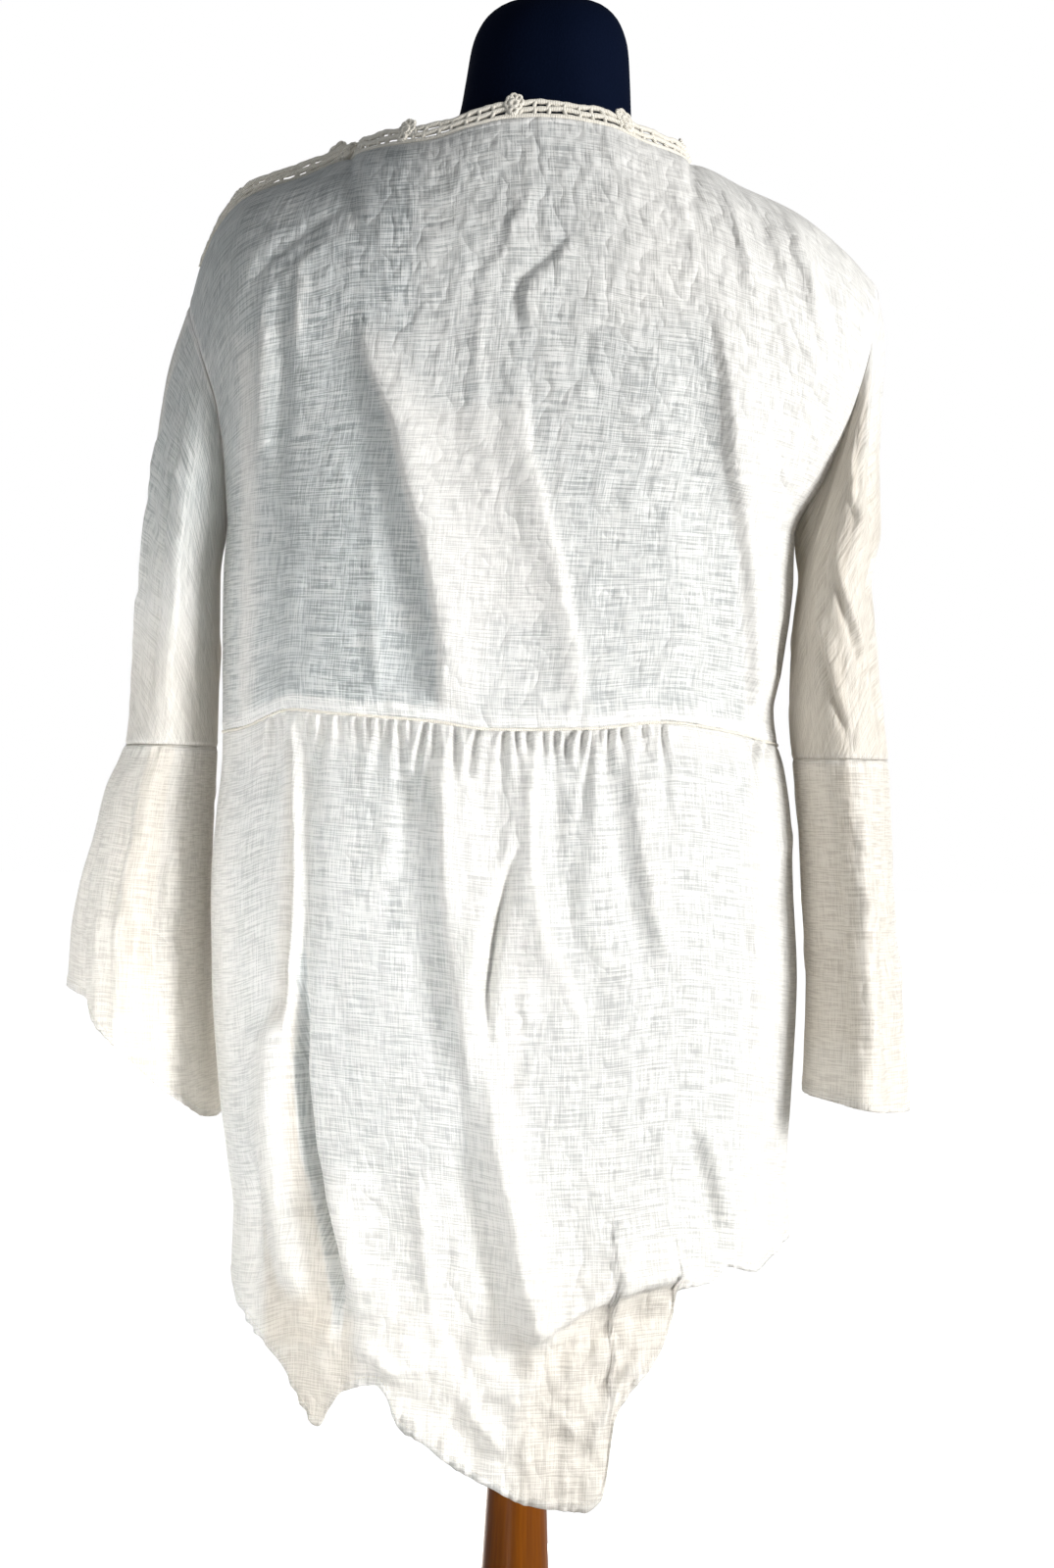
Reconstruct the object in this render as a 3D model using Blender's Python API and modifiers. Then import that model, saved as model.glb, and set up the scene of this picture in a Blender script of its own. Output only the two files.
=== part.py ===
"""Linen tunic blouse on a limbless dress form.

Metres, +Z up. The origin is the middle of the stand's underside. The wearer faces -Y,
so the wearer's left is +X. Every piece of cloth is a thin wall, worked out from the
tables below and kept a hair's breadth from its neighbours at the seams.
"""
import math

import bmesh
import bpy
import numpy as np

COLLECTION = "linen_blouse_on_dress_form"

# Cloth
CLOTH = 0.0012
LACE_CLOTH = 0.0016
SEAM_GAP = 0.0003
HALF_GAP = 0.0002
WAIST_GAP = 0.0005
CREASE_ANGLE = 50

# Body of the garment
BODY_AXIS = 0.0175
UNDERARM = 1.128
BODY_ROUNDNESS = 2.3
BLADE_DROP = 0.11
BACK_ARM_BULGE = 0.068
FRONT_ARM_BULGE = 0.062
ARM_BULGE_RISE = 0.8
ARM_ROWS = 10
SIDE_ROWS = 6
TOP_CROWDING = 1.7
WIDEST_BODICE_STEP = 0.105
WIDEST_SKIRT_STEP = 0.12

# Where folds fade out: shares of the width and of the bodice's length, and a length under the waist
EDGE_FADE = 0.10
TOP_FADE = 0.15
WAIST_FADE = 0.10
SKIRT_FADE = 0.05

# Neck opening, an oval seen from above
NECK_BACK = 0.078
NECK_FRONT = 0.105
NECK_RIGHT = -0.101
NECK_LEFT = 0.136

# Height, wearer's left edge and wearer's right edge of the body, seen from behind
BODY_SIDES = (
    (0.560, 0.1960, -0.1840),
    (0.600, 0.2040, -0.1862),
    (0.645, 0.2030, -0.1869),
    (0.680, 0.2076, -0.1841),
    (0.733, 0.2150, -0.1864),
    (0.810, 0.2215, -0.1888),
    (0.880, 0.2233, -0.1846),
    (0.925, 0.2205, -0.1822),
    (0.962, 0.2175, -0.1766),
    (0.985, 0.2178, -0.1700),
    (1.004, 0.2180, -0.1680),
    (1.030, 0.2187, -0.1730),
    (1.088, 0.2195, -0.1793),
    (1.128, 0.2175, -0.1805),
    (1.165, 0.2180, -0.1980),
    (1.200, 0.2215, -0.2110),
    (1.245, 0.2360, -0.2240),
    (1.279, 0.2470, -0.2310),
    (1.303, 0.2480, -0.2346),
)

# Height, depth behind the side seam and depth in front of it
BODY_DEPTHS = (
    (0.450, 0.122, 0.130),
    (0.600, 0.128, 0.136),
    (0.800, 0.132, 0.140),
    (0.930, 0.126, 0.138),
    (0.965, 0.121, 0.136),
    (0.985, 0.114, 0.132),
    (1.050, 0.112, 0.134),
    (1.200, 0.116, 0.135),
    (1.300, 0.112, 0.122),
    (1.360, 0.102, 0.112),
    (1.420, 0.090, 0.110),
)

# Across the body and height of the shoulder line and of the fabric's back neck edge
SHOULDER_LINE = (
    (-0.2346, 1.3030),
    (-0.2107, 1.3276),
    (-0.1756, 1.3538),
    (-0.1408, 1.3690),
    (NECK_RIGHT, 1.3850),
    (NECK_LEFT, 1.3835),
    (0.1696, 1.3710),
    (0.2106, 1.3552),
    (0.2295, 1.3345),
    (0.2408, 1.3080),
    (0.2480, 1.2790),
)
BACK_NECK = (
    (NECK_RIGHT, 1.3850),
    (-0.0691, 1.3900),
    (-0.0419, 1.3985),
    (0.0000, 1.4020),
    (0.0254, 1.4005),
    (0.0522, 1.3945),
    (0.0800, 1.3865),
    (NECK_LEFT, 1.3835),
)
FRONT_NECK = (
    (NECK_RIGHT, 1.3850),
    (-0.0850, 1.3800),
    (-0.0500, 1.3450),
    (-0.0150, 1.3120),
    (0.0175, 1.3020),
    (0.0500, 1.3120),
    (0.0850, 1.3450),
    (0.1200, 1.3790),
    (NECK_LEFT, 1.3835),
)

# Across the body and height of the waist seam, back and front
BACK_WAIST = (
    (-0.1700, 0.9790),
    (-0.1289, 0.9877),
    (-0.0893, 0.9920),
    (-0.0368, 0.9864),
    (0.0290, 0.9845),
    (0.0685, 0.9891),
    (0.1410, 0.9937),
    (0.1641, 0.9955),
    (0.2013, 0.9825),
    (0.2178, 0.9800),
)
FRONT_WAIST = (
    (-0.1700, 0.9790),
    (0.0175, 0.9900),
    (0.2178, 0.9800),
)

# Across the body and height of the hem: the long corner of the back, and the plain front
BACK_HEM = (
    (-0.1862, 0.6400),
    (-0.1742, 0.6298),
    (-0.1573, 0.6192),
    (-0.1375, 0.6245),
    (-0.1259, 0.6140),
    (-0.1029, 0.6100),
    (-0.1013, 0.5923),
    (-0.0933, 0.5686),
    (-0.0728, 0.5403),
    (-0.0628, 0.5205),
    (-0.0595, 0.4876),
    (-0.0565, 0.4705),
    (-0.0449, 0.4620),
    (-0.0073, 0.4659),
    (0.0199, 0.4784),
    (0.0412, 0.4889),
    (0.0693, 0.5093),
    (0.0786, 0.5140),
    (0.0909, 0.5376),
    (0.0970, 0.5429),
    (0.1179, 0.5376),
    (0.1263, 0.5271),
    (0.1351, 0.5120),
    (0.1535, 0.5376),
    (0.1637, 0.5541),
    (0.1831, 0.5720),
    (0.2040, 0.6000),
)
FRONT_HEM = (
    (-0.1862, 0.6400),
    (-0.0900, 0.6020),
    (0.0175, 0.5930),
    (0.1200, 0.5850),
    (0.2040, 0.6000),
)

# Places of the gathers along the waist seam, from the wearer's left to the right
BACK_GATHERS = (
    0.1777, 0.1738, 0.1699, 0.1567, 0.1495, 0.1429, 0.1389, 0.1304, 0.1179, 0.1106,
    0.1021, 0.0968, 0.0896, 0.0823, 0.0718, 0.0665, 0.0521, 0.0369, 0.0192, 0.0119,
    0.0034, -0.0072, -0.0151, -0.0210, -0.0262, -0.0341, -0.0407, -0.0447, -0.0513,
    -0.0598, -0.0743, -0.0874, -0.1519, -0.1618,
)
FRONT_GATHER_COUNT = 26
FRONT_GATHER_SPAN = (-0.130, 0.165)
GATHER_HEIGHT = 0.0017
GATHER_LENGTH = 0.045
GATHER_UNEVENNESS = 0.35
GATHER_CHANGE = 2.4

# How far down the skirt each row of its wall lies, as a share of the skirt's length
BACK_SKIRT_ROWS = (0.0, 0.015, 0.06, 0.14, 0.24, 0.36, 0.48, 0.60, 0.71, 0.81, 0.91, 1.0)
FRONT_SKIRT_ROWS = (0.0, 0.015, 0.07, 0.18, 0.36, 0.57, 0.79, 1.0)

# Folds: half-width, height above the cloth (troughs below it), and the line they follow
BACK_BODICE_FOLDS = (
    (0.014, 0.0085, ((0.1243, 1.284), (0.109, 1.185), (0.0844, 1.113), (0.0732, 1.054), (0.0688, 1.000))),
    (0.013, -0.0065, ((0.140, 1.270), (0.124, 1.170), (0.103, 1.100), (0.091, 1.050), (0.088, 1.000))),
    (0.014, 0.0060, ((0.0013, 1.376), (0.0105, 1.343), (0.0293, 1.304), (0.0349, 1.258), (0.0391, 1.146))),
    (0.011, -0.0070, ((-0.0286, 1.355), (-0.0098, 1.315), (0.0151, 1.256), (0.0108, 1.210), (-0.0065, 1.165),
                      (-0.0283, 1.066), (-0.036, 1.014))),
    (0.014, 0.0055, ((-0.1111, 1.226), (-0.129, 1.160), (-0.1377, 1.067))),
    (0.010, -0.0060, ((0.1660, 1.263), (0.1737, 1.002))),
    (0.010, 0.0045, ((0.1949, 1.280), (0.189, 1.016))),
)
FRONT_BODICE_FOLDS = (
    (0.016, 0.0060, ((0.100, 1.270), (0.085, 1.120), (0.080, 1.010))),
    (0.016, -0.0060, ((0.030, 1.240), (0.020, 1.120), (0.025, 1.020))),
    (0.016, 0.0060, ((-0.060, 1.270), (-0.050, 1.130), (-0.055, 1.010))),
    (0.014, -0.0050, ((-0.120, 1.250), (-0.125, 1.030))),
)
BACK_SKIRT_FOLDS = (
    (0.010, -0.0130, ((0.1597, 0.915), (0.1549, 0.843), (0.1498, 0.763), (0.1480, 0.710), (0.1403, 0.658),
                      (0.1290, 0.626), (0.1180, 0.587))),
    (0.012, 0.0100, ((0.1670, 0.800), (0.1640, 0.720), (0.1600, 0.660), (0.1540, 0.620), (0.1450, 0.592))),
    (0.008, -0.0080, ((0.1800, 0.700), (0.1810, 0.630), (0.1830, 0.590))),
    (0.011, -0.0140, ((-0.0021, 0.916), (0.0135, 0.883), (0.0225, 0.843), (0.0263, 0.778), (0.0239, 0.758))),
    (0.014, 0.0080, ((0.0330, 0.910), (0.0430, 0.843), (0.0470, 0.780))),
    (0.012, -0.0070, ((-0.0130, 0.870), (-0.0338, 0.817), (-0.0417, 0.752))),
    (0.015, 0.0110, ((0.0239, 0.740), (0.0095, 0.699), (0.0014, 0.627), (-0.0120, 0.583), (-0.0228, 0.539))),
    (0.015, 0.0060, ((-0.0369, 0.960), (-0.0651, 0.883), (-0.0796, 0.817))),
    (0.014, 0.0050, ((0.0651, 0.843), (0.0440, 0.778))),
    (0.008, -0.0060, ((-0.1074, 0.728), (-0.1230, 0.679), (-0.1360, 0.628))),
    (0.010, 0.0060, ((0.1188, 0.579), (0.0867, 0.552), (0.0703, 0.556), (0.0474, 0.565))),
    (0.010, -0.0070, ((-0.1000, 0.600), (-0.0677, 0.590), (-0.0404, 0.572), (-0.0139, 0.552))),
    (0.010, 0.0050, ((-0.1029, 0.622), (-0.0677, 0.609), (-0.0404, 0.592), (-0.0160, 0.574))),
)
FRONT_SKIRT_FOLDS = (
    (0.016, 0.0100, ((0.110, 0.900), (0.120, 0.760), (0.125, 0.600))),
    (0.014, -0.0100, ((0.065, 0.920), (0.070, 0.760), (0.075, 0.600))),
    (0.016, 0.0090, ((0.015, 0.880), (0.010, 0.740), (0.015, 0.600))),
    (0.014, -0.0100, ((-0.040, 0.920), (-0.045, 0.760), (-0.050, 0.610))),
    (0.016, 0.0090, ((-0.095, 0.900), (-0.105, 0.760), (-0.110, 0.610))),
)

# Sleeves: height, outer edge and inner edge seen from behind, middle and half-depth along Y
LEFT_SLEEVE = (
    (0.680, 0.3080, 0.2175, -0.035, 0.122),
    (0.740, 0.3150, 0.2215, -0.035, 0.115),
    (0.800, 0.3190, 0.2260, -0.033, 0.108),
    (0.835, 0.3190, 0.2270, -0.032, 0.103),
    (0.870, 0.3150, 0.2275, -0.030, 0.096),
    (0.903, 0.3073, 0.2270, -0.028, 0.089),
    (0.937, 0.3010, 0.2255, -0.026, 0.081),
    (0.972, 0.2880, 0.2245, -0.024, 0.073),
    (1.032, 0.2829, 0.2240, -0.020, 0.070),
    (1.088, 0.2785, 0.2240, -0.014, 0.067),
    (1.158, 0.2751, 0.2245, -0.006, 0.062),
    (1.228, 0.2697, 0.2260, 0.000, 0.052),
    (1.290, 0.2530, 0.2280, 0.000, 0.040),
)
RIGHT_SLEEVE = (
    (0.700, -0.2640, -0.1935, 0.000, 0.092),
    (0.731, -0.2637, -0.1930, 0.000, 0.090),
    (0.810, -0.2585, -0.1940, 0.000, 0.086),
    (0.879, -0.2535, -0.1900, 0.000, 0.081),
    (0.925, -0.2515, -0.1875, 0.000, 0.076),
    (0.969, -0.2495, -0.1830, 0.000, 0.072),
    (1.017, -0.2429, -0.1800, 0.000, 0.070),
    (1.059, -0.2393, -0.1810, 0.000, 0.068),
    (1.095, -0.2350, -0.1845, 0.000, 0.066),
    (1.132, -0.2418, -0.1870, 0.000, 0.062),
    (1.173, -0.2416, -0.1900, 0.000, 0.056),
    (1.214, -0.2442, -0.1950, 0.000, 0.050),
    (1.263, -0.2472, -0.2000, 0.000, 0.044),
    (1.310, -0.2400, -0.2100, 0.000, 0.036),
)
CAP_END = 1.088
CAP_ROWS = 6
LOWER_SLEEVE_ROWS = 4
FLOUNCE_SEAM = 0.970
FLOUNCE_ROWS = 6
FLOUNCE_COLUMNS = 32

# Flounce hems: middle height, rise at the outer side, waves round it and their height
LEFT_FLOUNCE_HEM = (0.7530, 0.0460, 6, 0.0075)
RIGHT_FLOUNCE_HEM = (0.7320, -0.0060, 5, 0.0055)
WAVE_START = 0.6
INNER_WAVE = 0.35
INNER_PULL = 0.2

# Neck lace: repeats round the neck, points a repeat, and heights of its cords
LACE_REPEATS = 12
LACE_POINTS = 6
LACE_SLOT_COLUMNS = (1, 2, 4, 5)
LACE_HEIGHTS = (0.0, 0.0040, 0.0095, 0.0138)
LACE_PETAL = 0.0045
LACE_PETAL_SIDE = 0.0012
LACE_LEAN = 0.42

# Dress form: height, middle across, half-width, depth behind and depth in front
TORSO = (
    (0.6600, 0.0000, 0.0600, 0.0400, 0.0400),
    (0.6640, 0.0040, 0.1300, 0.0760, 0.0800),
    (0.6800, 0.0080, 0.1560, 0.0930, 0.0970),
    (0.7200, 0.0130, 0.1650, 0.1000, 0.1030),
    (0.8000, 0.0165, 0.1680, 0.1030, 0.1070),
    (0.8800, 0.0165, 0.1580, 0.0950, 0.1050),
    (0.9700, 0.0165, 0.1350, 0.0800, 0.0950),
    (1.0200, 0.0165, 0.1340, 0.0800, 0.0970),
    (1.1000, 0.0165, 0.1500, 0.0900, 0.1090),
    (1.1800, 0.0165, 0.1640, 0.0960, 0.1140),
    (1.2500, 0.0165, 0.1780, 0.0950, 0.1050),
    (1.3000, 0.0165, 0.1900, 0.0890, 0.0930),
    (1.3300, 0.0165, 0.1960, 0.0790, 0.0820),
    (1.3514, 0.0165, 0.1890, 0.0620, 0.0640),
    (1.3670, 0.0165, 0.1565, 0.0520, 0.0540),
    (1.3780, 0.0165, 0.1210, 0.0540, 0.0550),
    (1.3870, 0.0110, 0.0880, 0.0580, 0.0570),
    (1.3980, 0.0050, 0.0700, 0.0585, 0.0590),
    (1.4150, 0.0010, 0.0620, 0.0595, 0.0610),
    (1.4400, -0.0005, 0.0590, 0.0575, 0.0580),
    (1.4650, -0.0015, 0.0560, 0.0545, 0.0545),
    (1.4830, -0.0025, 0.0490, 0.0475, 0.0475),
    (1.4940, -0.0040, 0.0370, 0.0355, 0.0355),
    (1.4985, -0.0060, 0.0230, 0.0220, 0.0220),
)
TORSO_POINTS = 28
TORSO_ROUNDNESS = 2.15

# Stand: radius and height of the turned profiles, from the top down the outer side
KNOB_MIDDLE = -0.0100
KNOB = ((0.0, 1.5270), (0.0070, 1.5262), (0.0115, 1.5225), (0.0130, 1.5160), (0.0118, 1.5080),
        (0.0108, 1.4988), (0.0, 1.4988))
POLE = ((0.0, 0.6597), (0.0205, 0.6597), (0.0205, 0.4700), (0.0222, 0.4250), (0.0250, 0.3700), (0.0262, 0.3200),
        (0.0240, 0.2700), (0.0195, 0.2300), (0.0178, 0.2000), (0.0190, 0.1700), (0.0255, 0.1350), (0.0285, 0.1000),
        (0.0270, 0.0700), (0.0330, 0.0560), (0.0330, 0.0263), (0.0, 0.0263))
BASE = ((0.0, 0.0260), (0.1500, 0.0260), (0.1800, 0.0225), (0.1910, 0.0150), (0.1930, 0.0080), (0.1900, 0.0),
        (0.0, 0.0))
TURNED_STEPS = 24

MATERIALS = {
    "linen": ((0.86, 0.83, 0.77, 1.0), 0.85, 0.0),
    "lace": ((0.90, 0.86, 0.76, 1.0), 0.80, 0.0),
    "jersey": ((0.010, 0.011, 0.020, 1.0), 0.75, 0.0),
    "wood": ((0.30, 0.13, 0.035, 1.0), 0.42, 0.0),
}


def curve(rows, column, places):
    """Read one column of a table along a smooth line that never overshoots its rows."""
    table = np.array(rows)
    x, y = table[:, 0], table[:, column]
    step = np.diff(x)
    slope = np.diff(y) / step
    tangent = np.empty_like(y)
    tangent[0], tangent[-1] = slope[0], slope[-1]
    product = slope[:-1] * slope[1:]
    total = np.where(product > 0, slope[:-1] + slope[1:], 1.0)
    tangent[1:-1] = np.where(product > 0, 2 * product / total, 0.0)
    at = np.clip(places, x[0], x[-1])
    i = np.clip(np.searchsorted(x, at, side="right") - 1, 0, len(x) - 2)
    t = (at - x[i]) / step[i]
    rise = (3 - 2 * t) * t * t
    return (y[i] * (1 - rise) + y[i + 1] * rise
            + step[i] * t * (1 - t) * ((1 - t) * tangent[i] - t * tangent[i + 1]))


def fill_steps(values, widest):
    """Add even steps between sorted values wherever two lie further apart than widest."""
    filled = [values[0]]
    for value in values[1:]:
        count = max(1, math.ceil((value - filled[-1]) / widest))
        filled.extend(np.linspace(filled[-1], value, count + 1)[1:])
    return np.array(filled)


def smooth_step(values):
    """Rise softly from 0 to 1 as the values do."""
    t = np.clip(values, 0.0, 1.0)
    return t * t * (3 - 2 * t)


def unit(vectors):
    """Give vectors a length of one."""
    return vectors / np.maximum(np.linalg.norm(vectors, axis=-1, keepdims=True), 1e-12)


def grid_normals(points, around, axis):
    """Work out each grid point's normal, turned away from the axis that the wall goes round."""
    if around:
        padded = np.concatenate([points[:, -1:], points, points[:, :1]], axis=1)
        across = np.gradient(padded, axis=1)[:, 1:-1]
    else:
        across = np.gradient(points, axis=1)
    normals = unit(np.cross(across, np.gradient(points, axis=0)))
    away = points - axis
    away[..., 2] = 0
    if (normals * away).sum() < 0:
        normals = -normals
    return normals


def add_folds(points, folds, axis, strength):
    """Raise ridges and sink troughs along their lines, as soft bells across them."""
    normals = grid_normals(points, False, axis)
    flat = points[..., (0, 2)]
    lift = np.zeros(points.shape[:2])
    for half_width, height, line in folds:
        line = np.array(line)
        nearest = np.full(points.shape[:2], np.inf)
        for start, end in zip(line[:-1], line[1:]):
            run = end - start
            t = np.clip(((flat - start) @ run) / (run @ run), 0, 1)
            nearest = np.minimum(nearest, np.linalg.norm(flat - start - t[..., None] * run, axis=-1))
        lift += height * np.exp(-(nearest / half_width) ** 2)
    return points + normals * (lift * strength)[..., None]


def held_back(inward, directions):
    """Stop the inner side of a seam's edge from leaning over to the neighbour's side."""
    for direction in directions:
        lean = np.maximum((inward * direction).sum(axis=-1, keepdims=True), 0.0)
        inward = inward - lean * direction
    return inward


def split_quad(face, vertices):
    """Split a four-sided face along its shorter diagonal, so both sides of a wall bend alike."""
    a, b, c, d = face
    if np.linalg.norm(vertices[a] - vertices[c]) <= np.linalg.norm(vertices[b] - vertices[d]):
        return (a, b, c), (a, c, d)
    return (a, b, d), (b, c, d)


def make_wall(name, points, thickness, axis, edges, around=False, skipped=()):
    """Make a closed wall from its outer points; edges hold (slice, slice, directions to stay back from)."""
    rows, columns = points.shape[:2]
    inward = -thickness * grid_normals(points, around, axis)
    for down, across, directions in edges:
        inward[down, across] = held_back(inward[down, across], directions)
    count = rows * columns
    vertices = np.concatenate([points.reshape(-1, 3), (points + inward).reshape(-1, 3)])
    outer = []
    for r in range(rows - 1):
        for c in range(columns if around else columns - 1):
            if (r, c) not in skipped:
                n = (c + 1) % columns
                outer.append((r * columns + c, r * columns + n, (r + 1) * columns + n, (r + 1) * columns + c))
    open_edges = {}
    for face in outer:
        for a, b in zip(face, face[1:] + face[:1]):
            if (b, a) in open_edges:
                del open_edges[(b, a)]
            else:
                open_edges[(a, b)] = True
    halves = [half for face in outer for half in split_quad(face, vertices)]
    inner = [tuple(i + count for i in reversed(half)) for half in halves]
    rims = [(b, a, a + count, b + count) for a, b in open_edges]
    mesh = bpy.data.meshes.new(name)
    mesh.from_pydata(vertices.tolist(), [], halves + inner + rims)
    return finish_mesh(name, mesh)


def finish_mesh(name, mesh):
    """Merge, turn faces out, shade softly and put the mesh into the collection."""
    work = bmesh.new()
    work.from_mesh(mesh)
    bmesh.ops.delete(work, geom=[v for v in work.verts if not v.link_faces], context="VERTS")
    bmesh.ops.recalc_face_normals(work, faces=work.faces)
    work.to_mesh(mesh)
    work.free()
    mesh.shade_smooth()
    mesh.set_sharp_from_angle(angle=math.radians(CREASE_ANGLE))
    piece = bpy.data.objects.new(name, mesh)
    bpy.data.collections[COLLECTION].objects.link(piece)
    return piece


def neck_depth(across):
    """Give the share of the neck's depth at a place across it, as an oval does."""
    middle, half = (NECK_LEFT + NECK_RIGHT) / 2, (NECK_LEFT - NECK_RIGHT) / 2
    return np.sqrt(np.maximum(1 - ((across - middle) / half) ** 2, 0))


class Side:
    """Back or front half of the body: sign of Y, its tables and its depths."""

    def __init__(self, sign, neck, neck_size, bulge, waist, hem, depth_column):
        self.sign = sign
        self.neck = neck
        self.neck_size = neck_size
        self.bulge = bulge
        self.waist = waist
        self.hem = hem
        self.depth_column = depth_column

    def depth(self, heights):
        """Depth of this half at given heights."""
        return curve(BODY_DEPTHS, self.depth_column, heights)


BACK = Side(1, BACK_NECK, NECK_BACK, BACK_ARM_BULGE, BACK_WAIST, BACK_HEM, 1)
FRONT = Side(-1, FRONT_NECK, NECK_FRONT, FRONT_ARM_BULGE, FRONT_WAIST, FRONT_HEM, 2)
AXIS = np.array((BODY_AXIS, 0.0, 0.0))


def swell(shares):
    """Depth of a rounded body at a share across it, 1 in the middle and 0 at the sides."""
    return (1 - np.minimum(np.abs(shares), 1) ** BODY_ROUNDNESS) ** (1 / BODY_ROUNDNESS)


def bodice_columns():
    """Shares across the body for the bodice, crowded to the sides, with one at each neck point."""
    right, left = SHOULDER_LINE[0][0], SHOULDER_LINE[-1][0]
    middle, half = (left + right) / 2, (left - right) / 2
    corners = [-math.pi / 2, math.asin((NECK_RIGHT - middle) / half),
               math.asin((NECK_LEFT - middle) / half), math.pi / 2]
    return np.sin(fill_steps(corners, WIDEST_BODICE_STEP))


def bodice_points(side, folds):
    """Outer points of a bodice half: rows from the neck and shoulder line down to the waist seam."""
    shares = bodice_columns()
    right, left = SHOULDER_LINE[0][0], SHOULDER_LINE[-1][0]
    top_x = (left + right) / 2 + (left - right) / 2 * shares
    in_neck = (top_x > NECK_RIGHT + 1e-6) & (top_x < NECK_LEFT - 1e-6)
    top_z = np.where(in_neck, curve(side.neck, 1, top_x), curve(SHOULDER_LINE, 1, top_x))
    top_y = np.where(in_neck, side.neck_size * neck_depth(top_x), 0.0)
    waist_left, waist_right = side.waist[-1][0], side.waist[0][0]
    waist_x = (waist_left + waist_right) / 2 + (waist_left - waist_right) / 2 * shares
    waist_z = curve(side.waist, 1, waist_x)
    rows = []
    for r in range(ARM_ROWS + SIDE_ROWS + 1):
        if r <= ARM_ROWS:
            share = r / ARM_ROWS
            z = top_z + (UNDERARM - top_z) * share ** TOP_CROWDING
            arch = math.sin(math.pi * share ** ARM_BULGE_RISE) if 0 < r < ARM_ROWS else 0.0
            edge = side.bulge * arch ** ARM_BULGE_RISE
        else:
            z = UNDERARM + (waist_z - UNDERARM) * (r - ARM_ROWS) / SIDE_ROWS
            edge = 0.0
        edge_left = curve(BODY_SIDES, 1, z[-1]) if r else left
        edge_right = curve(BODY_SIDES, 2, z[0]) if r else right
        x = (edge_left + edge_right) / 2 + (edge_left - edge_right) / 2 * shares
        round_off = np.sqrt(1 - (1 - np.minimum((top_z - z) / BLADE_DROP, 1)) ** 2)
        body = edge + (side.depth(z) - edge) * swell(shares)
        y = top_y * (1 - round_off) + body * round_off
        rows.append(np.stack([x, side.sign * np.maximum(y, HALF_GAP), z], axis=-1))
    points = np.array(rows)
    down = np.linspace(0, 1, len(rows))[:, None]
    strength = smooth_step((1 - np.abs(shares)) / EDGE_FADE)
    strength = strength * smooth_step(down / TOP_FADE) * smooth_step((1 - down) / WAIST_FADE)
    return add_folds(points, folds, AXIS, strength)


def armhole_direction(sign):
    """Direction out of the armhole's slanted plane on the wearer's left (1) or right (-1)."""
    end_x, end_z = SHOULDER_LINE[-1 if sign > 0 else 0]
    under_x = curve(BODY_SIDES, 1 if sign > 0 else 2, np.array(UNDERARM))
    run, drop = abs(end_x) - abs(float(under_x)), end_z - UNDERARM
    return unit(np.array((sign * drop, 0.0, -run)))


def lace_directions(edge):
    """Direction in which the lace stands at each point of the neck's edge: up, leaning to the neck."""
    middle = np.array(((NECK_LEFT + NECK_RIGHT) / 2, 0.0, 0.0))
    inward = middle - edge
    inward[..., 2] = 0
    return unit(unit(inward) * LACE_LEAN + np.array((0.0, 0.0, 1.0)))


def neck_span(points):
    """First and last column of a bodice half at the neck."""
    top = points[0, :, 0]
    inside = np.flatnonzero((top > NECK_RIGHT - 1e-5) & (top < NECK_LEFT + 1e-5))
    return inside[0], inside[-1]


def make_bodice(name, side, points):
    """Wall of a bodice half, held back at each of its seams."""
    to_other_half = np.array((0.0, -float(side.sign), 0.0))
    first, last = neck_span(points)
    neck = slice(first, last + 1)
    everything = slice(None)
    edges = [
        (-1, everything, [np.array((0.0, 0.0, -1.0))]),
        (0, slice(0, first + 1), [to_other_half]),
        (0, slice(last, None), [to_other_half]),
        (0, neck, [lace_directions(points[0, neck])]),
        (slice(0, ARM_ROWS + 1), 0, [armhole_direction(-1)]),
        (slice(0, ARM_ROWS + 1), -1, [armhole_direction(1)]),
        (slice(ARM_ROWS, None), 0, [to_other_half]),
        (slice(ARM_ROWS, None), -1, [to_other_half]),
    ]
    return make_wall(name, points, CLOTH, AXIS, edges)


def skirt_columns(side, gathers):
    """Shares across the skirt with the gathers' crests and hollows, and the crest (1) or hollow (-1) of each."""
    right, left = side.waist[0][0], side.waist[-1][0]
    middle, half = (left + right) / 2, (left - right) / 2
    crests = np.sort((np.array(gathers) - middle) / half)
    marks = [(-math.pi / 2, 0.0)]
    for i, crest in enumerate(crests):
        marks.append((math.asin(crest), 1.0))
        if i + 1 < len(crests) and math.asin(crests[i + 1]) - math.asin(crest) < WIDEST_SKIRT_STEP:
            marks.append((math.asin((crest + crests[i + 1]) / 2), -1.0))
    marks.append((math.pi / 2, 0.0))
    angles, waves = [marks[0][0]], [marks[0][1]]
    for angle, wave in marks[1:]:
        count = max(1, math.ceil((angle - angles[-1]) / WIDEST_SKIRT_STEP))
        angles.extend(np.linspace(angles[-1], angle, count + 1)[1:])
        waves.extend([0.0] * (count - 1) + [wave])
    return np.sin(np.array(angles)), np.array(waves)


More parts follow.
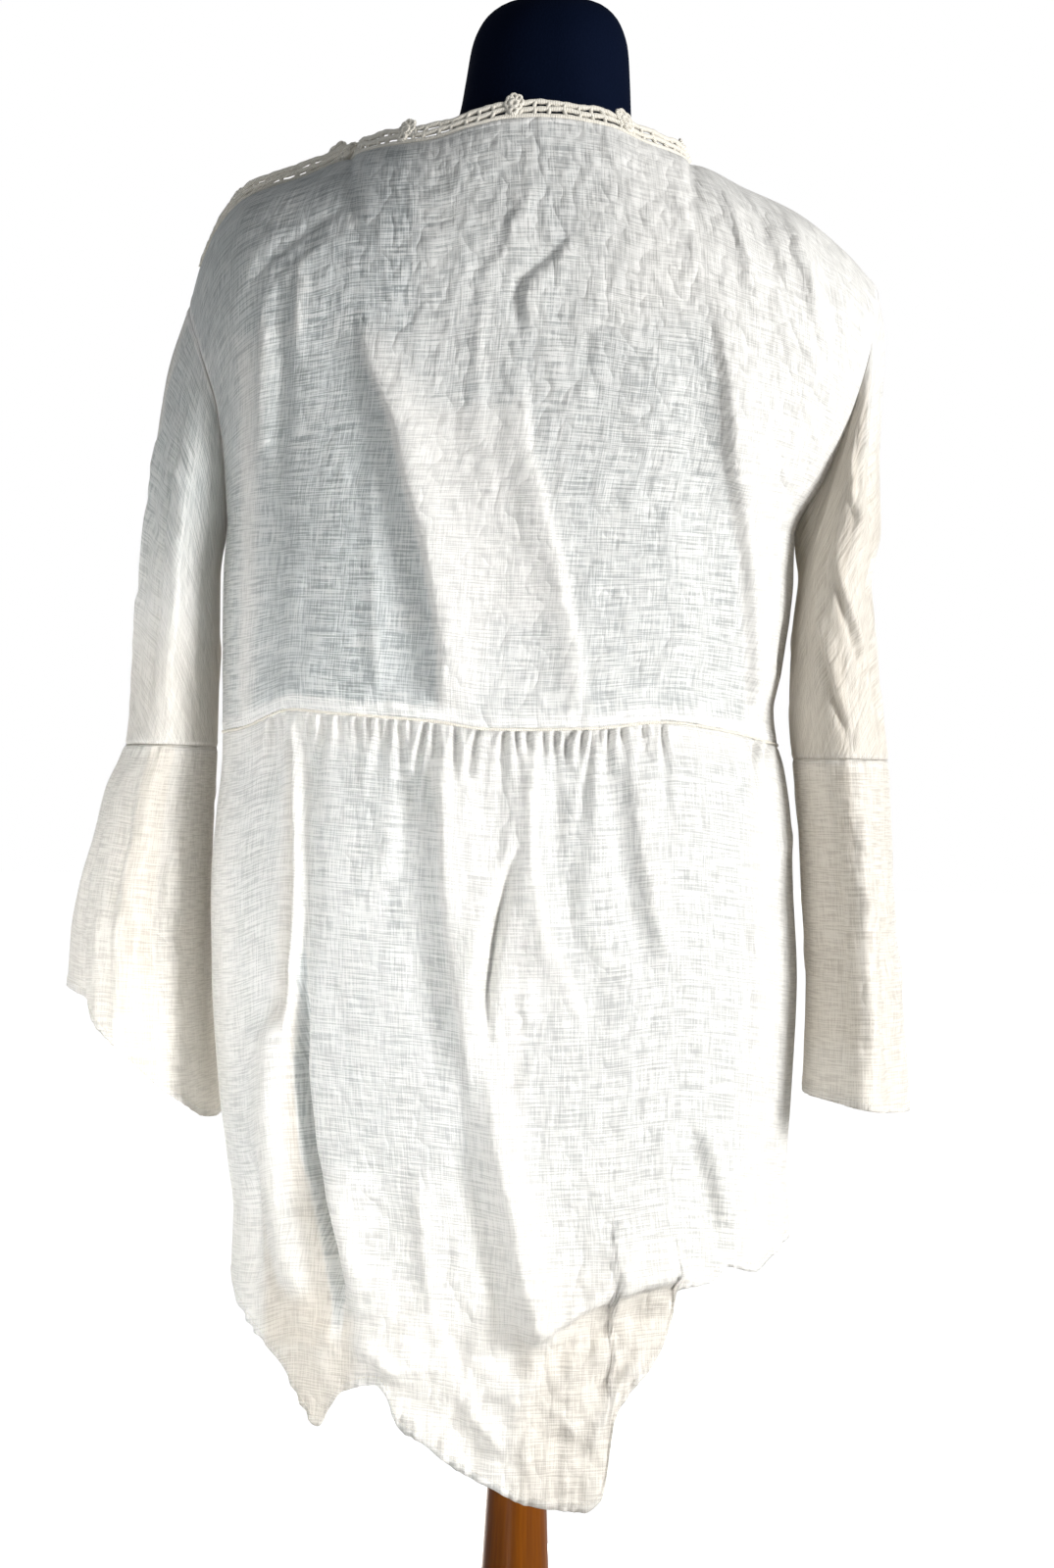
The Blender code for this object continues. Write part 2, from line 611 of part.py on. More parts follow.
def skirt_points(side, gathers, row_shares, folds, bodice):
    """Outer points of a skirt half, hanging from the bodice's last row down to the hem."""
    shares, waves = skirt_columns(side, gathers)
    seam = bodice[-1]
    low_left, low_right = side.hem[-1][0], side.hem[0][0]
    hem_z = curve(side.hem, 1, (low_left + low_right) / 2 + (low_left - low_right) / 2 * shares)
    waist_left, waist_right = seam[-1, 0], seam[0, 0]
    waist_x = (waist_left + waist_right) / 2 + (waist_left - waist_right) / 2 * shares
    waist_z = np.interp(waist_x, seam[:, 0], seam[:, 2]) - WAIST_GAP
    waist_y = np.interp(waist_x, seam[:, 0], np.abs(seam[:, 1]))
    drop = waist_z[None, :] + (hem_z - waist_z)[None, :] * np.array(row_shares)[:, None]
    x = np.empty_like(drop)
    for r in range(len(row_shares)):
        edge_left = curve(BODY_SIDES, 1, drop[r, -1]) if r else waist_left
        edge_right = curve(BODY_SIDES, 2, drop[r, 0]) if r else waist_right
        x[r] = (edge_left + edge_right) / 2 + (edge_left - edge_right) / 2 * shares
    y = np.maximum(side.depth(drop) * swell(shares), HALF_GAP)
    y[0] = np.maximum(waist_y, HALF_GAP)
    points = np.stack([x, side.sign * y, drop], axis=-1)
    below = waist_z - drop
    unevenness = 1 + GATHER_UNEVENNESS * np.sin(np.arange(len(shares)) * GATHER_CHANGE)
    wave = waves * GATHER_HEIGHT * unevenness * np.exp(-below / (GATHER_LENGTH * unevenness))
    wave[0] = 0
    points = points + grid_normals(points, False, AXIS) * wave[..., None]
    strength = smooth_step((1 - np.abs(shares)) / EDGE_FADE) * smooth_step(below / SKIRT_FADE)
    return add_folds(points, folds, AXIS, strength)


def make_skirt(name, side, points):
    """Wall of a skirt half, held back at the waist and side seams."""
    to_other_half = np.array((0.0, -float(side.sign), 0.0))
    everything = slice(None)
    edges = [
        (0, everything, [np.array((0.0, 0.0, 1.0))]),
        (everything, 0, [to_other_half]),
        (everything, -1, [to_other_half]),
    ]
    return make_wall(name, points, CLOTH, AXIS, edges)


def armhole_loop(back, front, column):
    """Armhole's edge as one loop: shoulder, down the back, underarm, up the front."""
    down_back = back[:ARM_ROWS + 1, column].copy()
    up_front = front[ARM_ROWS - 1:0:-1, column].copy()
    loop = np.concatenate([down_back, up_front])
    loop[0, 1] = 0.0
    loop[ARM_ROWS, 1] = 0.0
    return loop


def section(table, angles, heights):
    """Points of a sleeve's flattened round section; angle 0 is the outer side and a quarter turn the back."""
    outer, inner = curve(table, 1, heights), curve(table, 2, heights)
    middle, half_depth = curve(table, 3, heights), curve(table, 4, heights)
    x = (outer + inner) / 2 + (outer - inner) / 2 * np.cos(angles)
    y = middle + half_depth * np.sin(angles)
    return np.stack([x, y, np.broadcast_to(heights, x.shape)], axis=-1)


def sleeve_points(table, loop):
    """Outer points of a sleeve from the armhole to the flounce seam."""
    count = len(loop)
    angles = np.arange(count) * 2 * math.pi / count
    start = section(table, angles, loop[:, 2])
    rows = []
    for r in range(CAP_ROWS + 1):
        share = r / CAP_ROWS
        heights = loop[:, 2] + (CAP_END - loop[:, 2]) * share
        hold = (1 - smooth_step(share)) * np.array((1.0, 1.0, 0.0))
        rows.append(section(table, angles, heights) + (loop - start) * hold)
    for r in range(1, LOWER_SLEEVE_ROWS + 1):
        height = CAP_END + (FLOUNCE_SEAM - CAP_END) * r / LOWER_SLEEVE_ROWS
        rows.append(section(table, angles, np.full(count, height)))
    rows[0] = loop
    return np.array(rows)


def flounce_points(table, hem, sleeve):
    """Outer points of a flounce from its seam down to a waved, slanting hem."""
    middle, rise, waves, wave_height = hem
    angles = np.arange(FLOUNCE_COLUMNS) * 2 * math.pi / FLOUNCE_COLUMNS
    seam = np.concatenate([sleeve[-1], sleeve[-1][:1]])
    place = angles / (2 * math.pi) * len(sleeve[-1])
    top = np.stack([np.interp(place, np.arange(len(seam)), seam[:, i]) for i in range(3)], axis=-1)
    top[:, 2] -= SEAM_GAP
    bottom = middle + rise * np.cos(angles)
    rows = [top]
    for r in range(1, FLOUNCE_ROWS + 1):
        share = r / FLOUNCE_ROWS
        heights = top[:, 2] + (bottom - top[:, 2]) * share
        points = section(table, angles, heights)
        clear_of_body = 0.5 + 0.5 * np.cos(angles)
        wave = np.sin(waves * angles + WAVE_START) * (INNER_WAVE + (1 - INNER_WAVE) * clear_of_body)
        out = wave_height * (wave * share - (1 - clear_of_body) * INNER_PULL)
        outward = np.stack([np.cos(angles) * np.sign(table[0][1]), np.sin(angles), np.zeros_like(angles)], axis=-1)
        rows.append(points + outward * out[:, None])
    return np.array(rows)


def make_sleeve(side_name, sign, table, hem, back, front):
    """Sleeve and flounce of one side."""
    column = -1 if sign > 0 else 0
    out = armhole_direction(sign)
    sleeve = sleeve_points(table, armhole_loop(back, front, column) + out * SEAM_GAP)
    axis = np.array(((table[0][1] + table[0][2]) / 2, 0.0, 0.0))
    everything = slice(None)
    down, up = np.array((0.0, 0.0, -1.0)), np.array((0.0, 0.0, 1.0))
    make_wall("sleeve_" + side_name, sleeve, CLOTH, axis,
              [(0, everything, [-out]), (-1, everything, [down])], around=True)
    flounce = flounce_points(table, hem, sleeve)
    make_wall("flounce_" + side_name, flounce, CLOTH, axis, [(0, everything, [up])], around=True)


def make_lace(back, front):
    """Open-work strip that stands on the neck's edge, with slots between two cords and small petals."""
    first, last = neck_span(back)
    edge = np.concatenate([back[0, first:last + 1], front[0, last:first - 1:-1]])
    edge = np.concatenate([edge, edge[:1]])
    along = np.concatenate([[0], np.cumsum(np.linalg.norm(np.diff(edge, axis=0), axis=1))])
    count = LACE_REPEATS * LACE_POINTS
    places = np.arange(count) * along[-1] / count
    foot = np.stack([np.interp(places, along, edge[:, i]) for i in range(3)], axis=-1)
    standing = lace_directions(foot)
    repeat = np.arange(count) % LACE_POINTS
    beside = (repeat == 1) | (repeat == LACE_POINTS - 1)
    petal = np.where(repeat == 0, LACE_PETAL, np.where(beside, LACE_PETAL_SIDE, 0.0))
    rows = [foot + standing * (SEAM_GAP + height) for height in LACE_HEIGHTS[:-1]]
    rows.append(foot + standing * (SEAM_GAP + LACE_HEIGHTS[-1] + petal)[:, None])
    skipped = {(1, c) for c in range(count) if c % LACE_POINTS in LACE_SLOT_COLUMNS}
    points = np.array(rows)[::-1]
    return make_wall("neck_lace", points, LACE_CLOTH, AXIS, [(-1, slice(None), [-standing])],
                     around=True, skipped=skipped)


def make_torso():
    """Closed loft of rounded sections from the lower edge up to the domed neck."""
    angles = np.arange(TORSO_POINTS) * 2 * math.pi / TORSO_POINTS
    power = 2 / TORSO_ROUNDNESS
    cos, sin = np.cos(angles), np.sin(angles)
    rings = []
    for z, middle, half_width, behind, ahead in TORSO:
        x = middle + half_width * np.sign(cos) * np.abs(cos) ** power
        y = np.where(sin > 0, behind, ahead) * np.sign(sin) * np.abs(sin) ** power
        rings.append(np.stack([x, y, np.full_like(x, z)], axis=-1))
    vertices = np.concatenate(rings)
    faces = [tuple(range(TORSO_POINTS))[::-1], tuple(len(vertices) - TORSO_POINTS + i for i in range(TORSO_POINTS))]
    for r in range(len(rings) - 1):
        for c in range(TORSO_POINTS):
            n = (c + 1) % TORSO_POINTS
            a, b = r * TORSO_POINTS, (r + 1) * TORSO_POINTS
            faces.append((a + c, a + n, b + n, b + c))
    mesh = bpy.data.meshes.new("form_torso")
    mesh.from_pydata(vertices.tolist(), [], faces)
    return finish_mesh("form_torso", mesh)


def make_turned(name, profile, middle=0.0):
    """Turned piece: a profile of radii and heights with a Screw modifier."""
    mesh = bpy.data.meshes.new(name)
    vertices = [(radius, 0.0, height) for radius, height in profile]
    mesh.from_pydata(vertices, [(i, i + 1) for i in range(len(vertices) - 1)], [])
    piece = bpy.data.objects.new(name, mesh)
    piece.location.x = middle
    bpy.data.collections[COLLECTION].objects.link(piece)
    screw = piece.modifiers.new("turned", "SCREW")
    screw.steps = screw.render_steps = TURNED_STEPS
    screw.use_merge_vertices = True
    screw.merge_threshold = 0.00005
    screw.use_smooth_shade = True
    return piece


def make_materials():
    """One Principled material for each finish."""
    made = {}
    for name, (colour, roughness, metallic) in MATERIALS.items():
        material = bpy.data.materials.new(name)
        material.use_nodes = True
        shader = material.node_tree.nodes["Principled BSDF"]
        shader.inputs["Base Color"].default_value = colour
        shader.inputs["Roughness"].default_value = roughness
        shader.inputs["Metallic"].default_value = metallic
        material.diffuse_color = colour
        made[name] = material
    return made


def dress(materials):
    """Give each piece its finish by its name."""
    for piece in bpy.data.collections[COLLECTION].objects:
        if piece.name.startswith("form_torso"):
            finish = "jersey"
        elif piece.name.startswith("form_"):
            finish = "wood"
        else:
            finish = "lace" if piece.name == "neck_lace" else "linen"
        piece.data.materials.append(materials[finish])


def front_gathers():
    """Evenly spread gathers of the plain front skirt."""
    low, high = FRONT_GATHER_SPAN
    return np.linspace(low, high, FRONT_GATHER_COUNT)


def main():
    """Build every piece in its place."""
    for old in list(bpy.data.objects):
        bpy.data.objects.remove(old, do_unlink=True)
    collection = bpy.data.collections.new(COLLECTION)
    bpy.context.scene.collection.children.link(collection)

    back = bodice_points(BACK, BACK_BODICE_FOLDS)
    front = bodice_points(FRONT, FRONT_BODICE_FOLDS)
    make_bodice("bodice_back", BACK, back)
    make_bodice("bodice_front", FRONT, front)
    make_skirt("skirt_back", BACK, skirt_points(BACK, BACK_GATHERS, BACK_SKIRT_ROWS, BACK_SKIRT_FOLDS, back))
    make_skirt("skirt_front", FRONT,
               skirt_points(FRONT, front_gathers(), FRONT_SKIRT_ROWS, FRONT_SKIRT_FOLDS, front))
    make_sleeve("left", 1, LEFT_SLEEVE, LEFT_FLOUNCE_HEM, back, front)
    make_sleeve("right", -1, RIGHT_SLEEVE, RIGHT_FLOUNCE_HEM, back, front)
    make_lace(back, front)
    make_torso()
    make_turned("form_neck_knob", KNOB, KNOB_MIDDLE)
    make_turned("form_pole", POLE)
    make_turned("form_base", BASE)
    dress(make_materials())


main()
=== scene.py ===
"""Looks of a linen tunic blouse on a limbless dress form.

Metres, +Z up. The wearer faces -Y, so the wearer's left is +X, and the camera stands behind,
at +Y. Each panel is its solid's form at a finer step, with creases, gathers, seams and hems.
Places across the cloth are given as (x, z) and those round a sleeve as (turns, z).
"""
from __future__ import annotations

import logging
import math
from dataclasses import dataclass, field
from enum import Enum

import bpy
import numpy as np
from mathutils import Matrix, Vector

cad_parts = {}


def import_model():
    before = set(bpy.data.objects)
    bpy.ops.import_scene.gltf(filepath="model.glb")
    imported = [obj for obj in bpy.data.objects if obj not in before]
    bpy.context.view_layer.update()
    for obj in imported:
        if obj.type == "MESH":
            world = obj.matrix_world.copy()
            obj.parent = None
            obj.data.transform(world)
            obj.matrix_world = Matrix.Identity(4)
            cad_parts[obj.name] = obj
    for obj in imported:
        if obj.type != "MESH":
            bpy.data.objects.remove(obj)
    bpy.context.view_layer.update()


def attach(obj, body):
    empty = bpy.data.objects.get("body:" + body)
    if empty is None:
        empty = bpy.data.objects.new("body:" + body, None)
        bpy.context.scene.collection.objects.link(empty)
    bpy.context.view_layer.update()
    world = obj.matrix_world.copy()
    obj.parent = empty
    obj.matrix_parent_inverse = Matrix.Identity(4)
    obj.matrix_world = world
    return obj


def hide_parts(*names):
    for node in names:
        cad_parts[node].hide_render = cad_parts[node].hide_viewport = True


Array = np.ndarray
Table = tuple[tuple[float, ...], ...]
Line = tuple[tuple[float, float], ...]
Triple = tuple[float, float, float]
Colour = tuple[float, float, float, float]
Mesh = bpy.types.Mesh
Material = bpy.types.Material
Socket = bpy.types.NodeSocket
LOG = logging.getLogger("linen_blouse")

# Body of the garment, as in its solids
BODY_AXIS = 0.0175
UNDERARM = 1.128
BODY_ROUNDNESS = 2.3
BLADE_DROP = 0.11
TOP_CROWDING = 1.7
HEM_SPREADING = 1.12
WAIST_EASE = 0.1
INNER_SHARE = 0.3
EDGE_FADE = 0.1
NECK_RIGHT = -0.101
NECK_LEFT = 0.136
SEAM_GAP = 0.0003
WAIST_GAP = 0.0005
CLOTH = 0.0006
CAP_END = 1.088
FLOUNCE_SEAM = 0.97
LACE_LEAN = 0.42
LACE_REPEATS = 12

# Doubled cloth, in from the edges: the turned neck, seam allowances and hems
NECK_TURN = 0.006
WAIST_ALLOWANCE = 0.0095
SIDE_ALLOWANCE = 0.007
SKIRT_SIDE_ALLOWANCE = 0.006
SKIRT_HEM = 0.0068
CAP_ALLOWANCE = 0.006
SLEEVE_END_ALLOWANCE = 0.005
FLOUNCE_ALLOWANCE = 0.004
FLOUNCE_HEM = 0.0065

# Height, wearer's left edge and wearer's right edge of the body
BODY_SIDES: Table = (
    (0.56, 0.196, -0.184), (0.6, 0.204, -0.1862), (0.645, 0.203, -0.1869), (0.68, 0.2076, -0.1841),
    (0.733, 0.215, -0.1864), (0.81, 0.2215, -0.1888), (0.88, 0.2233, -0.1846), (0.925, 0.2205, -0.1822),
    (0.962, 0.2175, -0.1766), (0.985, 0.2178, -0.17), (1.004, 0.218, -0.168), (1.03, 0.2187, -0.173),
    (1.088, 0.2195, -0.1793), (1.128, 0.2175, -0.1805), (1.165, 0.218, -0.198), (1.2, 0.2215, -0.211),
    (1.245, 0.236, -0.224), (1.279, 0.247, -0.231), (1.303, 0.248, -0.2346),
)
# Height, depth behind the side seam and depth in front of it
BODY_DEPTHS: Table = (
    (0.45, 0.122, 0.13), (0.6, 0.128, 0.136), (0.8, 0.132, 0.14), (0.93, 0.126, 0.138),
    (0.965, 0.121, 0.136), (0.985, 0.114, 0.132), (1.05, 0.112, 0.134), (1.2, 0.116, 0.135),
    (1.3, 0.112, 0.122), (1.36, 0.102, 0.112), (1.42, 0.09, 0.11),
)
# Across the body and height: shoulder line, neck edges, waist seams and hems
SHOULDER_LINE: Table = (
    (-0.2346, 1.303), (-0.2107, 1.3276), (-0.1756, 1.3538), (-0.1408, 1.369), (NECK_RIGHT, 1.385),
    (NECK_LEFT, 1.3835), (0.1696, 1.371), (0.2106, 1.3552), (0.2295, 1.3345), (0.2408, 1.308),
    (0.248, 1.279),
)
BACK_NECK: Table = (
    (NECK_RIGHT, 1.385), (-0.0691, 1.39), (-0.0419, 1.3985), (0.0, 1.402), (0.0254, 1.4005),
    (0.0522, 1.3945), (0.08, 1.3865), (NECK_LEFT, 1.3835),
)
FRONT_NECK: Table = (
    (NECK_RIGHT, 1.385), (-0.085, 1.38), (-0.05, 1.345), (-0.015, 1.312), (0.0175, 1.302), (0.05, 1.312),
    (0.085, 1.345), (0.12, 1.379), (NECK_LEFT, 1.3835),
)
BACK_WAIST: Table = (
    (-0.17, 0.979), (-0.1289, 0.9877), (-0.0893, 0.992), (-0.0368, 0.9864), (0.029, 0.9845),
    (0.0685, 0.9891), (0.141, 0.9937), (0.1641, 0.9955), (0.2013, 0.9825), (0.2178, 0.98),
)
FRONT_WAIST: Table = ((-0.17, 0.979), (0.0175, 0.99), (0.2178, 0.98))
BACK_HEM: Table = (
    (-0.1862, 0.64), (-0.1742, 0.6298), (-0.1573, 0.6192), (-0.1375, 0.6245), (-0.1259, 0.614),
    (-0.1029, 0.61), (-0.1013, 0.5923), (-0.0933, 0.5686), (-0.0728, 0.5403), (-0.0628, 0.5205),
    (-0.0595, 0.4876), (-0.0565, 0.4705), (-0.0449, 0.462), (-0.0073, 0.4659), (0.0199, 0.4784),
    (0.0412, 0.4889), (0.0693, 0.5093), (0.0786, 0.514), (0.0909, 0.5376), (0.097, 0.5429),
    (0.1179, 0.5376), (0.1263, 0.5271), (0.1351, 0.512), (0.1535, 0.5376), (0.1637, 0.5541),
    (0.1831, 0.572), (0.204, 0.6),
)
FRONT_HEM: Table = (
    (-0.1862, 0.64), (-0.09, 0.602), (0.0175, 0.593), (0.12, 0.585), (0.204, 0.6),
)
# Places of the gathers along the waist seam, from the wearer's left to the right
BACK_GATHERS = (
    0.1777, 0.1738, 0.1699, 0.1567, 0.1495, 0.1429, 0.1389, 0.1304, 0.1179, 0.1106, 0.1021, 0.0968, 0.0896,
    0.0823, 0.0718, 0.0665, 0.0521, 0.0369, 0.0192, 0.0119, 0.0034, -0.0072, -0.0151, -0.021, -0.0262,
    -0.0341, -0.0407, -0.0447, -0.0513, -0.0598, -0.0743, -0.0874, -0.1519, -0.1618,
)
FRONT_GATHERS = tuple(np.linspace(-0.13, 0.165, 26))
# Limits of the gathers' chance sizes: short, middling or long, then depth and half-width
GATHER_LENGTHS: Table = ((0.01, 0.02), (0.02, 0.034), (0.04, 0.07))
GATHER_DEPTHS = (0.0036, 0.007)
GATHER_HALF_WIDTHS = (0.0012, 0.0019)
GATHER_SPREAD = 0.026
# Sleeves: height, outer edge and inner edge, middle and half-depth along Y
LEFT_SLEEVE: Table = (
    (0.68, 0.308, 0.2175, -0.035, 0.122), (0.74, 0.315, 0.2215, -0.035, 0.115),
    (0.8, 0.319, 0.226, -0.033, 0.108), (0.835, 0.319, 0.227, -0.032, 0.103),
    (0.87, 0.315, 0.2275, -0.03, 0.096), (0.903, 0.3073, 0.227, -0.028, 0.089),
    (0.937, 0.301, 0.2255, -0.026, 0.081), (0.972, 0.288, 0.2245, -0.024, 0.073),
    (1.032, 0.2829, 0.224, -0.02, 0.07), (1.088, 0.2785, 0.224, -0.014, 0.067),
    (1.158, 0.2751, 0.2245, -0.006, 0.062), (1.228, 0.2697, 0.226, 0.0, 0.052),
    (1.29, 0.253, 0.228, 0.0, 0.04),
)
RIGHT_SLEEVE: Table = (
    (0.7, -0.264, -0.1935, 0.0, 0.092), (0.731, -0.2637, -0.193, 0.0, 0.09),
    (0.81, -0.2585, -0.194, 0.0, 0.086), (0.879, -0.2535, -0.19, 0.0, 0.081),
    (0.925, -0.2515, -0.1875, 0.0, 0.076), (0.969, -0.2495, -0.183, 0.0, 0.072),
    (1.017, -0.2429, -0.18, 0.0, 0.07), (1.059, -0.2393, -0.181, 0.0, 0.068),
    (1.095, -0.235, -0.1845, 0.0, 0.066), (1.132, -0.2418, -0.187, 0.0, 0.062),
    (1.173, -0.2416, -0.19, 0.0, 0.056), (1.214, -0.2442, -0.195, 0.0, 0.05),
    (1.263, -0.2472, -0.2, 0.0, 0.044), (1.31, -0.24, -0.21, 0.0, 0.036),
)
# Dress form: height, middle across, half-width, depth behind and depth in front
TORSO: Table = (
    (0.66, 0.0, 0.06, 0.04, 0.04), (0.664, 0.004, 0.13, 0.076, 0.08), (0.68, 0.008, 0.156, 0.093, 0.097),
    (0.72, 0.013, 0.165, 0.1, 0.103), (0.8, 0.0165, 0.168, 0.103, 0.107),
    (0.88, 0.0165, 0.158, 0.095, 0.105), (0.97, 0.0165, 0.135, 0.08, 0.095),
    (1.02, 0.0165, 0.134, 0.08, 0.097), (1.1, 0.0165, 0.15, 0.09, 0.109),
    (1.18, 0.0165, 0.164, 0.096, 0.114), (1.25, 0.0165, 0.178, 0.095, 0.105),
    (1.3, 0.0165, 0.19, 0.089, 0.093), (1.33, 0.0165, 0.196, 0.079, 0.082),
    (1.3514, 0.0165, 0.189, 0.062, 0.064), (1.367, 0.0165, 0.1565, 0.052, 0.054),
    (1.378, 0.0165, 0.121, 0.054, 0.055), (1.387, 0.011, 0.088, 0.058, 0.057),
    (1.398, 0.005, 0.07, 0.0585, 0.059), (1.415, 0.001, 0.062, 0.0595, 0.061),
    (1.44, -0.0005, 0.059, 0.0575, 0.058), (1.465, -0.0015, 0.056, 0.0545, 0.0545),
    (1.483, -0.0025, 0.049, 0.0475, 0.0475), (1.494, -0.004, 0.037, 0.0355, 0.0355),
    (1.4985, -0.006, 0.023, 0.022, 0.022),
)
# Stand: radius and height of the turned profiles, down the outer side
KNOB: Table = (
    (0.0, 1.527), (0.007, 1.5262), (0.0115, 1.5225), (0.013, 1.516), (0.0118, 1.508), (0.0108, 1.4988),
    (0.0, 1.4988),
)
POLE: Table = (
    (0.0, 0.6597), (0.0205, 0.6597), (0.0205, 0.47), (0.0222, 0.425), (0.025, 0.37), (0.0262, 0.32),
    (0.024, 0.27), (0.0195, 0.23), (0.0178, 0.2), (0.019, 0.17), (0.0255, 0.135), (0.0285, 0.1),
    (0.027, 0.07), (0.033, 0.056), (0.033, 0.0263), (0.0, 0.0263),
)
BASE: Table = (
    (0.0, 0.026), (0.15, 0.026), (0.18, 0.0225), (0.191, 0.015), (0.193, 0.008), (0.19, 0.0), (0.0, 0.0),
)
KNOB_MIDDLE = -0.01
# Loops of a lace flower: lean in radians, reach and girth; and its hearts: radius and rise
LACE_PETALS: Table = (
    (0.0, 1.0, 1.0), (0.62, 0.95, 0.9), (-0.62, 0.95, 0.9), (1.25, 0.8, 0.95), (-1.25, 0.8, 0.95),
    (2.2, 0.7, 0.8), (-2.2, 0.7, 0.8),
)
LACE_HEARTS: Table = ((0.0026, 0.0), (0.0022, -0.006))

AXIS = np.array((BODY_AXIS, 0.0, 0.0))


@dataclass(frozen=True)
class Fold:
    """Soft ridge (height above 0) or trough (below 0) along a line over the cloth.

    Its profile is a bell, and it dies away over the ends of its line. A lean above 0 makes the
    side on the left of the line's run steeper and the other one flatter.
    """

    half_width: float
    height: float
    line: Line
    lean: float = 0.0
    taper: float = 0.3


@dataclass(frozen=True)
class Shade:
    """Stretch of cloth between two borders that run up it, with the amount of painted light on it.

    An amount above 0 paints shade: the dark form seen through the cloth, and shade in folds and away
    from the light. One below 0 paints warm colour: light glowing through the cloth, and warm shade.
    Each border is a table of height and place across. The soft limits are widths in metres, for
    the wearer's left, the wearer's right, the bottom and the top.
    """

    left: Table
    right: Table
    low: float
    high: float
    amount: float
    soft: tuple[float, float, float, float] = (0.01, 0.01, 0.02, 0.04)


def run_down(line: Table, shift: float = 0.0) -> Line:
    """Turn a border, given up its heights, into a fold's line that runs down beside it."""
    return tuple((x + shift, z) for z, x in reversed(line))


def upright(across: float) -> Table:
    """Border of a shade that stays at one place across at every height."""
    return ((0.4, across), (1.5, across))


# Borders between cloth that lies on the form and cloth that stands off it: height, place across
BLADE_LEFT: Table = (
    (0.86, 0.06), (0.99, 0.065), (1.0378, 0.067), (1.0648, 0.0716), (1.0997, 0.0783), (1.1287, 0.0861),
    (1.1458, 0.0924), (1.1847, 0.1012), (1.2058, 0.1095), (1.2295, 0.1213), (1.2585, 0.1258),
    (1.2874, 0.1304),
)
SPINE: Table = (
    (0.88, -0.056), (1.0089, -0.0357), (1.0438, -0.0316), (1.0668, -0.0252), (1.0958, -0.0206),
    (1.1188, -0.0122), (1.1478, -0.0057), (1.1729, 0.0041), (1.2117, 0.0069), (1.2486, 0.0117),
)
SPINE_TOP: Table = (
    (1.24, 0.01), (1.2545, 0.0158), (1.2756, 0.0182), (1.2874, 0.0145), (1.3026, -0.0043),
    (1.3257, -0.0196),
)
BLADE_RIGHT: Table = (
    (0.86, -0.156), (1.0, -0.145), (1.0569, -0.142), (1.0767, -0.1396), (1.1057, -0.137), (1.1439, -0.1302),
    (1.1729, -0.1237), (1.2196, -0.1207), (1.2387, -0.1163), (1.2967, -0.1111),
)
SKIRT_LEFT: Table = (
    (0.7, 0.036), (0.7645, 0.0436), (0.8025, 0.0497), (0.841, 0.0564), (0.8796, 0.0612), (0.9371, 0.0644),
    (0.9561, 0.0707), (0.9888, 0.0714), (1.09, 0.074),
)
SKIRT_CREASE: Table = (
    (0.7587, 0.0271), (0.8123, 0.027), (0.841, 0.0237), (0.8639, 0.019), (0.9, 0.01), (0.92, -0.001),
)
SKIRT_MIDDLE: Table = (
    (0.7645, -0.0446), (0.7933, -0.0401), (0.826, -0.0283), (0.8508, -0.016), (0.8888, -0.0073),
    (0.9136, -0.0054), (0.9502, -0.0059), (0.9849, -0.0052), (1.08, -0.003),
)
SKIRT_RIGHT: Table = (
    (0.79, -0.083), (0.8312, -0.0765), (0.8678, -0.0679), (0.8888, -0.0616), (0.9371, -0.0553),
    (0.9751, -0.0466), (1.07, -0.04),
)
PLEAT_LIP: Table = (
    (0.73, 0.164), (0.7547, 0.1617), (0.7835, 0.1611), (0.8123, 0.1578), (0.8508, 0.1567), (0.8796, 0.156),
    (0.9371, 0.1585), (0.9849, 0.1615), (1.08, 0.165),
)
PLEAT_LIP_LEFT: Table = ((0.6, 0.176), (0.8, 0.174), (0.94, 0.17))
PLEAT_SHADOW: Table = (
    (0.5874, 0.1272), (0.6357, 0.1356), (0.6671, 0.1449), (0.6998, 0.1515), (0.7528, 0.1575),
    (0.8312, 0.153),
)
PLEAT_GAP: Table = (
    (0.5874, 0.1202), (0.6357, 0.1291), (0.6671, 0.1389), (0.6998, 0.1455), (0.7528, 0.1525),
    (0.8312, 0.151),
)
TAIL_RIDGE: Table = (
    (0.5377, -0.0228), (0.5645, -0.013), (0.6024, -0.0044), (0.641, 0.0043), (0.6887, 0.0152),
    (0.7561, 0.0258),
)

